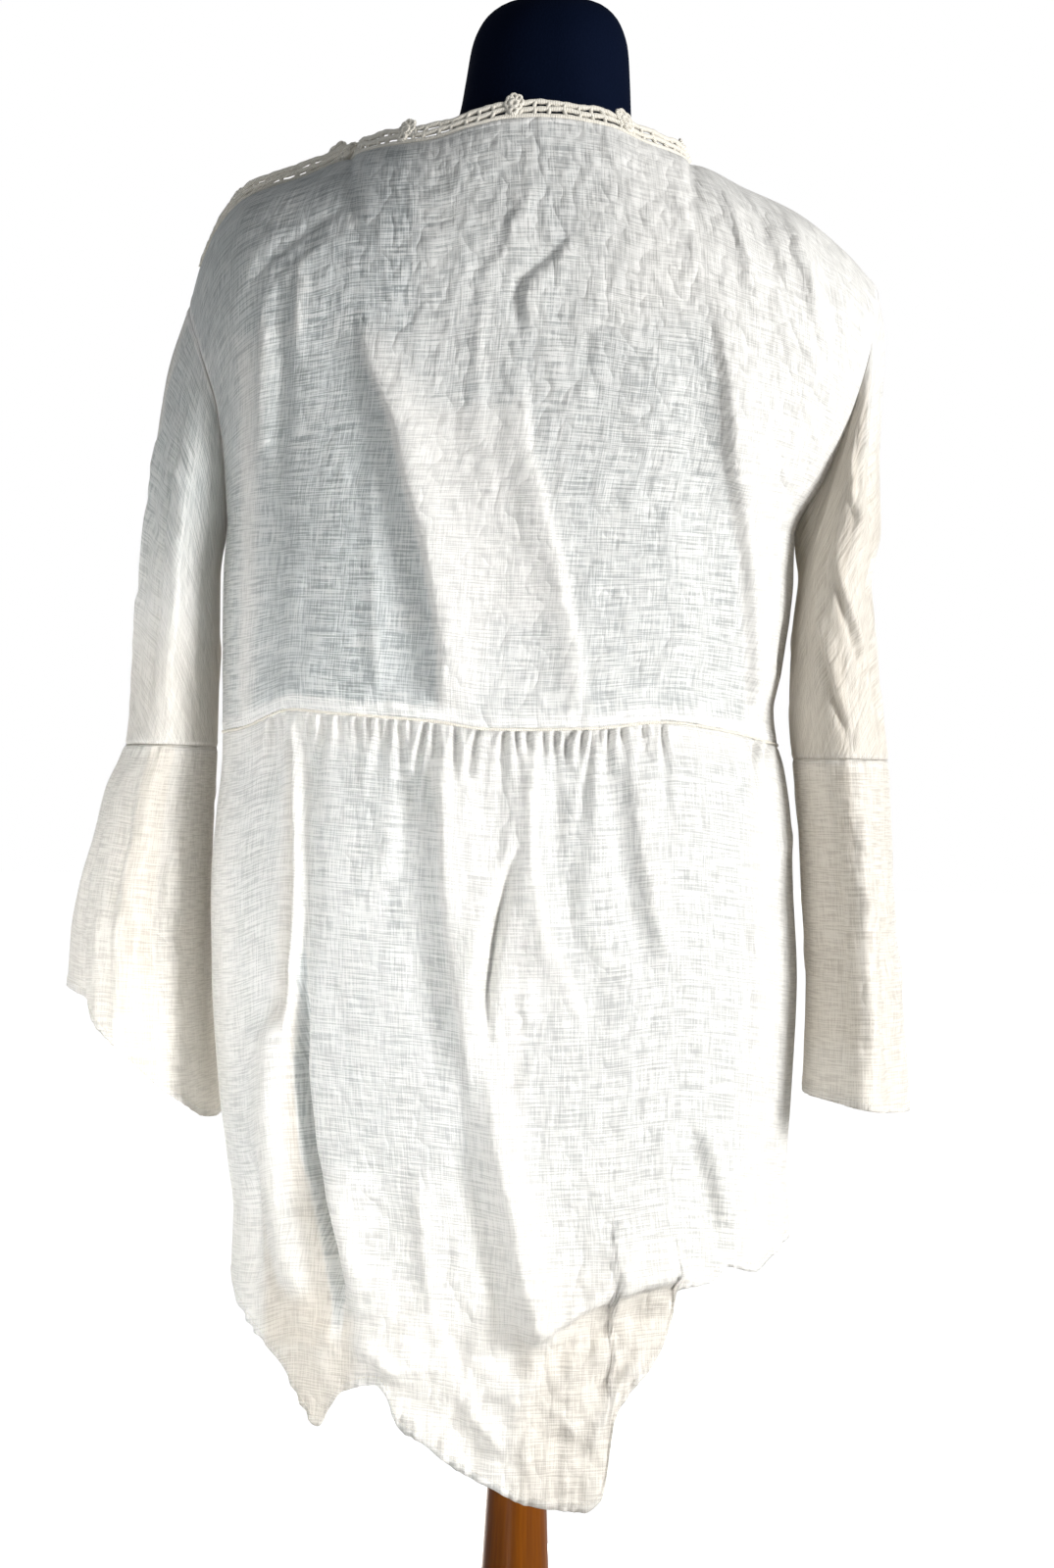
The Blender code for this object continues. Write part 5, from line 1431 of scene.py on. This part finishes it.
@dataclass
class NeckLace:
    """Corded open-work lace that stands on the neck's edge."""

    back: BodyHalf
    front: BodyHalf
    foot_height: float = 0.0016
    middle_height: float = 0.0072
    top_height: float = 0.0122
    cord_radius: float = 0.00185
    bars_per_repeat: int = 8
    cord_steps: int = 420
    loop_steps: int = 18
    cord_sides: int = 8
    loop_sides: int = 6
    petal_height: float = 0.008
    petal_width: float = 0.003
    bar_radius: float = 0.0014
    petal_radius: float = 0.0013
    heart_radius: float = 0.0016
    foot: Array = field(init=False)
    standing: Array = field(init=False)
    length: float = field(init=False)
    along: Array = field(init=False)

    def __post_init__(self) -> None:
        """Follow the neck's edge, back then front."""
        back, front = self.back.bodice_form(), self.front.bodice_form()
        inside = np.flatnonzero((back[0, :, 0] > NECK_RIGHT - 1e-5) & (back[0, :, 0] < NECK_LEFT + 1e-5))
        first, last = inside[0], inside[-1]
        edge = np.concatenate([back[0, first:last + 1], front[0, last:first - 1:-1]])
        self.foot = np.concatenate([edge, edge[:1]])
        self.along = run_length(self.foot, 0)
        self.length = float(self.along[-1])
        inward = np.array(((NECK_LEFT + NECK_RIGHT) / 2, 0.0, 0.0)) - self.foot
        inward[:, 2] = 0
        self.standing = unit(unit(inward) * LACE_LEAN + np.array((0.0, 0.0, 1.0)))

    def read(self, values: Array, places: Array) -> Array:
        """Read values of the neck's edge at places along it, round and round."""
        return read_path(places % self.length, self.along, values)

    def lay(self, places: Array, heights: Array, proud: Array | float = 0.0) -> tuple[Array, Array]:
        """Points and outward directions for places along the edge and heights over it."""
        step = 0.002
        run = self.read(self.foot, places + step) - self.read(self.foot, places - step)
        standing = self.read(self.standing, places)
        outward = unit(np.cross(run, standing))
        foot = self.read(self.foot, places)
        away = (foot - AXIS) * (1, 1, 0)
        outward = outward * np.sign((outward * away).sum(axis=-1, keepdims=True))
        points = foot + standing * heights[..., None]
        return points + outward * np.broadcast_to(proud, heights.shape)[..., None], outward

    def add_cords(self, batch: MeshBatch) -> None:
        """Three cords all round, the upper two swaying a little."""
        places = np.linspace(0, self.length, self.cord_steps, endpoint=False)[None]
        turn = places / self.length * 2 * math.pi
        for height, sway in ((self.foot_height, 0.0002), (self.middle_height, 0.0006),
                             (self.top_height, 0.0007)):
            waves = np.sin(turn * LACE_REPEATS * 2 + height * 900), np.sin(turn * 41)
            heights = height + sway * waves[0] + sway * 0.5 * waves[1]
            points, outward = self.lay(places, heights)
            thick = self.cord_radius * (1 + 0.08 * np.sin(turn * 97) + 0.06 * np.sin(turn * 151))
            batch.add_tubes(points, outward, thick, self.cord_sides, True)

    def add_bars(self, batch: MeshBatch) -> None:
        """Short bars from cord to cord between the slots, each a little askew."""
        rng = np.random.default_rng(5)
        count = LACE_REPEATS * self.bars_per_repeat
        middles = (np.arange(count) + 0.5 + rng.uniform(-0.12, 0.12, count)) * self.length / count
        lift = np.linspace(0, 1, 5)
        for low, high in ((self.foot_height, self.middle_height), (self.middle_height, self.top_height)):
            heights = low + (high - low) * lift[None] + np.zeros((count, 1))
            places = middles[:, None] + (lift[None] - 0.5) * rng.uniform(-0.0022, 0.0022, (count, 1))
            points, outward = self.lay(places, heights, 0.0003)
            thick = np.full(heights.shape, self.bar_radius)
            batch.add_tubes(points, outward, thick, self.loop_sides, False)

    def add_flowers(self, batch: MeshBatch) -> None:
        """A looped flower at each repeat: upright petals, side leaves and a round heart."""
        rng = np.random.default_rng(9)
        turn = np.linspace(0, 2 * math.pi, self.loop_steps, endpoint=False)
        hearts = np.arange(LACE_REPEATS) * self.length / LACE_REPEATS
        hearts = hearts + rng.uniform(-0.003, 0.003, LACE_REPEATS)
        for lean, reach, girth in LACE_PETALS:
            tilt = lean + rng.uniform(-0.08, 0.08, (LACE_REPEATS, 1))
            size = reach * rng.uniform(0.92, 1.08, (LACE_REPEATS, 1))
            outwards = (0.5 - 0.5 * np.cos(turn)) * self.petal_height * size
            sideways = np.sin(turn) * (0.25 + 0.75 * (0.5 - 0.5 * np.cos(turn))) * self.petal_width * girth
            heights = self.top_height - 0.0015 + outwards * np.cos(tilt) - sideways * np.sin(tilt)
            places = hearts[:, None] + outwards * np.sin(tilt) + sideways * np.cos(tilt)
            points, outward = self.lay(places, heights, 0.0012)
            thick = np.full(heights.shape, self.petal_radius)
            batch.add_tubes(points, outward, thick, self.loop_sides, True)
        for radius, rise in LACE_HEARTS:
            places = hearts[:, None] + radius * np.cos(turn)
            heights = self.top_height + rise - 0.0012 + radius * np.sin(turn) + 0 * places
            points, outward = self.lay(places, heights, 0.0017)
            thick = np.full(heights.shape, self.heart_radius)
            batch.add_tubes(points, outward, thick, self.loop_sides, True)

    def dress(self, wardrobe: Wardrobe) -> None:
        """Make the lace as one piece."""
        batch = MeshBatch("neck_trim")
        self.add_cords(batch)
        self.add_bars(batch)
        self.add_flowers(batch)
        place_piece(batch.mesh("cord"), wardrobe.cord, Finish.LACE, ("neck_lace",))


@dataclass
class Stitching:
    """Lines of machine stitches along the hems, and the thin ridge of the waist seam."""

    pitch: float = 0.0034
    length: float = 0.0026
    radius: float = 0.00028
    ridge_radius: float = 0.001
    ridge_lift: float = 0.0004
    ridge_drop: float = 0.0003
    hump: float = 0.0003
    sink: float = 0.00012
    skirt_margin: float = 0.006
    flounce_margin: float = 0.0058

    def line(self, cloth: ClothGrid, from_hem: float) -> tuple[Array, Array]:
        """Points and normals at a distance from the last row, one for each column."""
        points, normals = cloth.points, cloth.normals()
        down = run_length(points, 0)
        up = (down[-1] - down)[::-1]
        rows = np.arange(len(points))[::-1]
        place = np.array([np.interp(from_hem, column, rows) for column in up.T])
        low = np.floor(place).astype(int)
        share = (place - low)[:, None]
        column = np.arange(points.shape[1])
        high = np.minimum(low + 1, len(points) - 1)
        spot = points[low, column] * (1 - share) + points[high, column] * share
        return spot, unit(normals[low, column] * (1 - share) + normals[high, column] * share)

    def add(self, batch: MeshBatch, cloth: ClothGrid, from_hem: float) -> None:
        """Add a line of stitches along a hem: grains that dip into the cloth at both ends."""
        spot, normal = self.line(cloth, from_hem)
        if cloth.around:
            spot, normal = np.concatenate([spot, spot[:1]]), np.concatenate([normal, normal[:1]])
        along = run_length(spot, 0)
        middles = np.arange(self.pitch, along[-1] - self.pitch, self.pitch)
        shares = np.linspace(-0.5, 0.5, 5)
        places = middles[:, None] + shares[None] * self.length
        paths, outward = read_path(places, along, spot), unit(read_path(places, along, normal))
        hump = self.hump * np.cos(shares * math.pi) - self.sink
        thin = np.sqrt(np.maximum(1 - (2 * shares) ** 2, 0.01))
        radii = np.broadcast_to(self.radius * thin, places.shape)
        batch.add_tubes(paths + outward * hump[None, :, None], outward, radii, 4, False)

    def add_ridge(self, batch: MeshBatch, cloth: ClothGrid) -> None:
        """Add the thin ridge that the waist seam makes along the lower edge of a bodice."""
        columns = slice(2, -2)
        spot, normal = cloth.points[-1:, columns], cloth.normals()[-1:, columns]
        uneven = 1 + 0.15 * np.sin(np.arange(spot.shape[1]) * 1.7)
        radii = (self.ridge_radius * uneven)[None]
        drop = np.array((0.0, 0.0, self.ridge_drop))
        batch.add_tubes(spot + normal * self.ridge_lift - drop, normal, radii, 8, False)

    def dress(self, wardrobe: Wardrobe, halves: list[BodyHalf], flounces: list[ClothGrid]) -> None:
        """Stitch the hems, and lay the ridge of the waist seam."""
        batch = MeshBatch("stitching")
        for half in halves:
            self.add(batch, half.skirt, self.skirt_margin)
            self.add_ridge(batch, half.bodice)
        for cloth in flounces:
            self.add(batch, cloth, self.flounce_margin)
        place_piece(batch.mesh("cord"), wardrobe.cord, Finish.LINEN, ())


def closed_rings(name: str, points: Array) -> Mesh:
    """Mesh of rings that close round and end in flat faces, with its faces turned outwards."""
    rows, columns = points.shape[:2]
    quads = grid_quads(rows, columns, True)
    caps = [list(range(columns))[::-1], list(range((rows - 1) * columns, rows * columns))]
    mesh = bpy.data.meshes.new(name)
    mesh.from_pydata(points.reshape(-1, 3).tolist(), [], quads.reshape(-1, 4).tolist() + caps)
    mesh.validate()
    middle = np.array([v.co for v in mesh.vertices]).mean(axis=0)
    centres, normals, areas = (np.array([getattr(f, word) for f in mesh.polygons])
                               for word in ("center", "normal", "area"))
    if (((centres - middle) * normals).sum(axis=1) * areas).sum() < 0:
        mesh.flip_normals()
    return mesh


@dataclass
class DressForm:
    """Limbless form with a knitted cover, on a turned stand."""

    columns: int = 160
    rows: int = 220
    roundness: float = 2.15
    inset: float = 0.0012
    seam_height: float = 1.433
    turned_steps: int = 96

    def cover_mesh(self) -> Mesh:
        """Closed loft of superellipse sections, with a seam round the neck.

        Heights, widths and depths all follow the table along its own outline, so that rows lie
        evenly over the shoulders. The cover is drawn in a little, to lie clear of the cloth.
        """
        table = np.array(TORSO)
        outline = run_length(table[:, (0, 2)], 0)
        rows = np.column_stack([outline, table])
        places = np.linspace(0, outline[-1], self.rows)
        z, middle, width, behind, ahead = (curve(rows, i, places)[:, None] for i in range(1, 6))
        groove = 0.0007 * np.exp(-((z - self.seam_height) / 0.0011) ** 2)
        width, behind, ahead = (size - self.inset - groove for size in (width, behind, ahead))
        angles = even_angles(self.columns)
        cos, sin, power = np.cos(angles), np.sin(angles), 2 / self.roundness
        x = middle + width * np.sign(cos) * np.abs(cos) ** power
        y = np.where(sin > 0, behind, ahead) * np.sign(sin) * np.abs(sin) ** power
        points = np.stack([x, y, z + 0 * x], axis=-1)
        return closed_rings("form_cover", points)

    def turned(self, name: str, profile: Table, middle: float, fineness: float) -> Mesh:
        """Turned piece: a profile of radii and heights carried round an upright line.

        The profile's corners are rounded by reading it at even steps along its outline.
        """
        outline = run_length(np.array(profile), 0)
        rows = np.column_stack([outline, profile])
        corners = fill_steps(list(outline), fineness)
        radius, height = (curve(rows, column, corners)[1:-1, None] for column in (1, 2))
        angles = -even_angles(self.turned_steps)
        x, y = middle + radius * np.cos(angles), radius * np.sin(angles)
        return closed_rings(name, np.stack([x, y, height + 0 * x], axis=-1))

    def dress(self, wardrobe: Wardrobe) -> None:
        """Make the cover, knob, pole and foot."""
        place_piece(self.cover_mesh(), wardrobe.jersey, Finish.JERSEY, ("form_torso",))
        for name, profile, middle, fineness, material, solid in (
                ("knob", KNOB, KNOB_MIDDLE, 0.0015, wardrobe.knob, "form_neck_knob"),
                ("pole", POLE, 0.0, 0.006, wardrobe.pole, "form_pole"),
                ("foot", BASE, 0.0, 0.004, wardrobe.pole, "form_base")):
            place_piece(self.turned(name, profile, middle, fineness), material, Finish.WOOD, (solid,))


@dataclass(frozen=True)
class Lamp:
    """Square soft light that the camera doesn't see, with its spread in degrees."""

    name: str
    place: Triple
    aim: Triple
    size: float
    power: float
    colour: Triple
    spread: float = 180.0

    def build(self) -> None:
        """Hang the lamp and aim it."""
        made = bpy.data.lights.new(self.name, "AREA")
        made.size = self.size
        made.energy = self.power
        made.color = self.colour
        made.spread = math.radians(self.spread)
        stand = bpy.data.objects.new(self.name, made)
        stand.location = self.place
        stand.rotation_euler = (Vector(self.aim) - Vector(self.place)).to_track_quat("-Z", "Y").to_euler()
        stand.visible_camera = False
        bpy.context.scene.collection.objects.link(stand)


LAMPS = (
    Lamp("key", (-1.9, 1.3, 1.25), (0.0, 0.05, 1.0), 0.7, 70.0, (1.0, 0.995, 0.98)),
    Lamp("low_fill", (0.95, 1.85, 0.25), (0.26, 0.02, 0.8), 0.5, 1.4, (1.0, 0.99, 0.97), 26.0),
    Lamp("side", (2.2, 0.9, 0.7), (0.1, 0.0, 1.0), 1.4, 3.0, (0.66, 0.83, 1.0)),
    Lamp("back", (0.5, -1.8, 0.45), (0.05, 0.0, 0.75), 1.5, 52.0, (1.0, 0.95, 0.88)),
)


@dataclass
class Studio:
    """Plain pale floor, soft light and the photograph's camera."""

    distance: float = 2.4
    across: float = 0.0035
    height: float = 0.948
    pixels_per_metre: float = 1450.0
    picture_height: float = 1600.0
    sensor: float = 36.0
    roll: float = math.radians(1.25)
    room_light: float = 0.27
    floor_reach: float = 30.0
    floor_steps: int = 13
    floor_glow: float = 0.9
    floor_dark: Colour = (0.88, 0.88, 0.875, 1.0)
    floor_light: Colour = (0.92, 0.92, 0.915, 1.0)

    def camera(self) -> None:
        """Stand the camera behind the form, level, turned a little about its line of sight."""
        made = bpy.data.cameras.new("camera")
        made.sensor_fit = "VERTICAL"
        made.sensor_height = self.sensor
        made.lens = self.sensor * self.distance * self.pixels_per_metre / self.picture_height
        stand = bpy.data.objects.new("camera", made)
        bpy.context.scene.collection.objects.link(stand)
        right = Vector((-math.cos(self.roll), 0.0, math.sin(self.roll)))
        up = Vector((math.sin(self.roll), 0.0, math.cos(self.roll)))
        back = Vector((0.0, 1.0, 0.0))
        turn = Matrix((right, up, back)).transposed().to_4x4()
        stand.matrix_world = Matrix.Translation((self.across, self.distance, self.height)) @ turn
        bpy.context.scene.camera = stand

    def backdrop(self) -> None:
        """White all round to the camera, and a softer light for the rest."""
        g = Graph(bpy.data.worlds.new("studio"))
        light = g.node("ShaderNodeBackground", {}, {
            "Color": (0.97, 0.985, 1.0, 1.0), "Strength": self.room_light})
        seen = g.node("ShaderNodeBackground", {}, {"Color": (1.0, 1.0, 1.0, 1.0), "Strength": 1.0})
        camera = g.read("ShaderNodeLightPath", "Is Camera Ray")
        both = g.node("ShaderNodeMixShader", {}, {0: camera, 1: light.outputs[0], 2: seen.outputs[0]})
        bpy.context.scene.world = g.finish(both.outputs[0])
        bpy.context.scene.view_settings.view_transform = "Standard"

    def floor(self) -> None:
        """Wide pale floor, softly lit of itself, that throws no light up at the cloth."""
        g = Graph(bpy.data.materials.new("pale_floor"))
        place = g.read("ShaderNodeTexCoord", "Object")
        soft = g.noise(place, (0.7, 0.7, 0.7))
        paint = g.node("ShaderNodeBsdfPrincipled", {}, {
            "Base Color": g.blend((soft + 0.5).clamped(), self.floor_dark, self.floor_light),
            "Roughness": 0.9, "Specular IOR Level": 0.1, "Emission Color": (1.0, 1.0, 1.0, 1.0),
            "Emission Strength": self.floor_glow})
        reach = np.linspace(-self.floor_reach, self.floor_reach, self.floor_steps)
        x, y = np.meshgrid(reach, reach)
        points = np.stack([x, y, 0 * x], axis=-1)
        quads = grid_quads(self.floor_steps, self.floor_steps, False)
        mesh = bpy.data.meshes.new("floor")
        mesh.from_pydata(points.reshape(-1, 3).tolist(), [], quads.reshape(-1, 4).tolist())
        mesh.materials.append(g.finish(paint.outputs[0]))
        plate = bpy.data.objects.new("floor", mesh)
        plate.visible_diffuse = False
        bpy.context.scene.collection.objects.link(plate)

    def build(self) -> None:
        """Set up the whole studio."""
        self.camera()
        self.floor()
        for lamp in LAMPS:
            lamp.build()
        self.backdrop()


def make_halves() -> tuple[BodyHalf, BodyHalf]:
    """Back and front of the body."""
    back = BodyHalf(
        "back", 1.0, BACK_NECK, neck_size=0.078, bulge=0.068, waist=BACK_WAIST, hem=BACK_HEM,
        depth_column=1, bodice_folds=BACK_BODICE_FOLDS, skirt_folds=BACK_SKIRT_FOLDS,
        bodice_shades=BACK_BODICE_SHADES, skirt_shades=BACK_SKIRT_SHADES, gathers=BACK_GATHERS,
        bodice_cut=Cut(0.56, 0.46, 0.22), skirt_cut=Cut(0.6, 0.56, 0.22), seed=11)
    front = BodyHalf(
        "front", -1.0, FRONT_NECK, neck_size=0.105, bulge=0.062, waist=FRONT_WAIST, hem=FRONT_HEM,
        depth_column=2, bodice_folds=FRONT_BODICE_FOLDS, skirt_folds=FRONT_SKIRT_FOLDS,
        bodice_shades=FRONT_BODICE_SHADES, skirt_shades=FRONT_SKIRT_SHADES, gathers=FRONT_GATHERS,
        bodice_cut=Cut(0.56, 0.46, 0.2), skirt_cut=Cut(0.6, 0.42, 0.2), seed=23, bodice_step=0.021,
        skirt_columns=221, skirt_rows=110)
    return back, front


def make_sleeves() -> tuple[Sleeve, Sleeve]:
    """Left and right sleeve."""
    left = Sleeve(
        "left", 1.0, LEFT_SLEEVE, hem_height=0.753, hem_rise=0.046, hem_waves=6, hem_wave_height=0.0075,
        sleeve_folds=LEFT_SLEEVE_FOLDS, flounce_folds=LEFT_FLOUNCE_FOLDS, sleeve_shades=LEFT_SLEEVE_SHADES,
        flounce_shades=LEFT_FLOUNCE_SHADES, sleeve_cut=Cut(0.4, 0.3, 0.09),
        flounce_cut=Cut(0.52, 0.26, 0.11), seed=31)
    right = Sleeve(
        "right", -1.0, RIGHT_SLEEVE, hem_height=0.732, hem_rise=-0.006, hem_waves=5, hem_wave_height=0.0055,
        sleeve_folds=RIGHT_SLEEVE_FOLDS, flounce_folds=RIGHT_FLOUNCE_FOLDS,
        sleeve_shades=RIGHT_SLEEVE_SHADES, flounce_shades=RIGHT_FLOUNCE_SHADES,
        sleeve_cut=Cut(0.4, 0.3, 0.09), flounce_cut=Cut(0.46, 0.26, 0.1), seed=47)
    return left, right


def main() -> None:
    """Build the blouse on its form, and light it."""
    logging.basicConfig(level=logging.INFO, format="%(name)s %(message)s")
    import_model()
    Studio().build()
    wardrobe = Wardrobe()
    DressForm().dress(wardrobe)
    back, front = make_halves()
    flounces = []
    for half in (back, front):
        half.dress(wardrobe)
    for sleeve in make_sleeves():
        flounces.append(sleeve.dress(wardrobe, back, front))
    NeckLace(back, front).dress(wardrobe)
    Stitching().dress(wardrobe, [back, front], flounces)


if __name__ == "__main__":
    main()
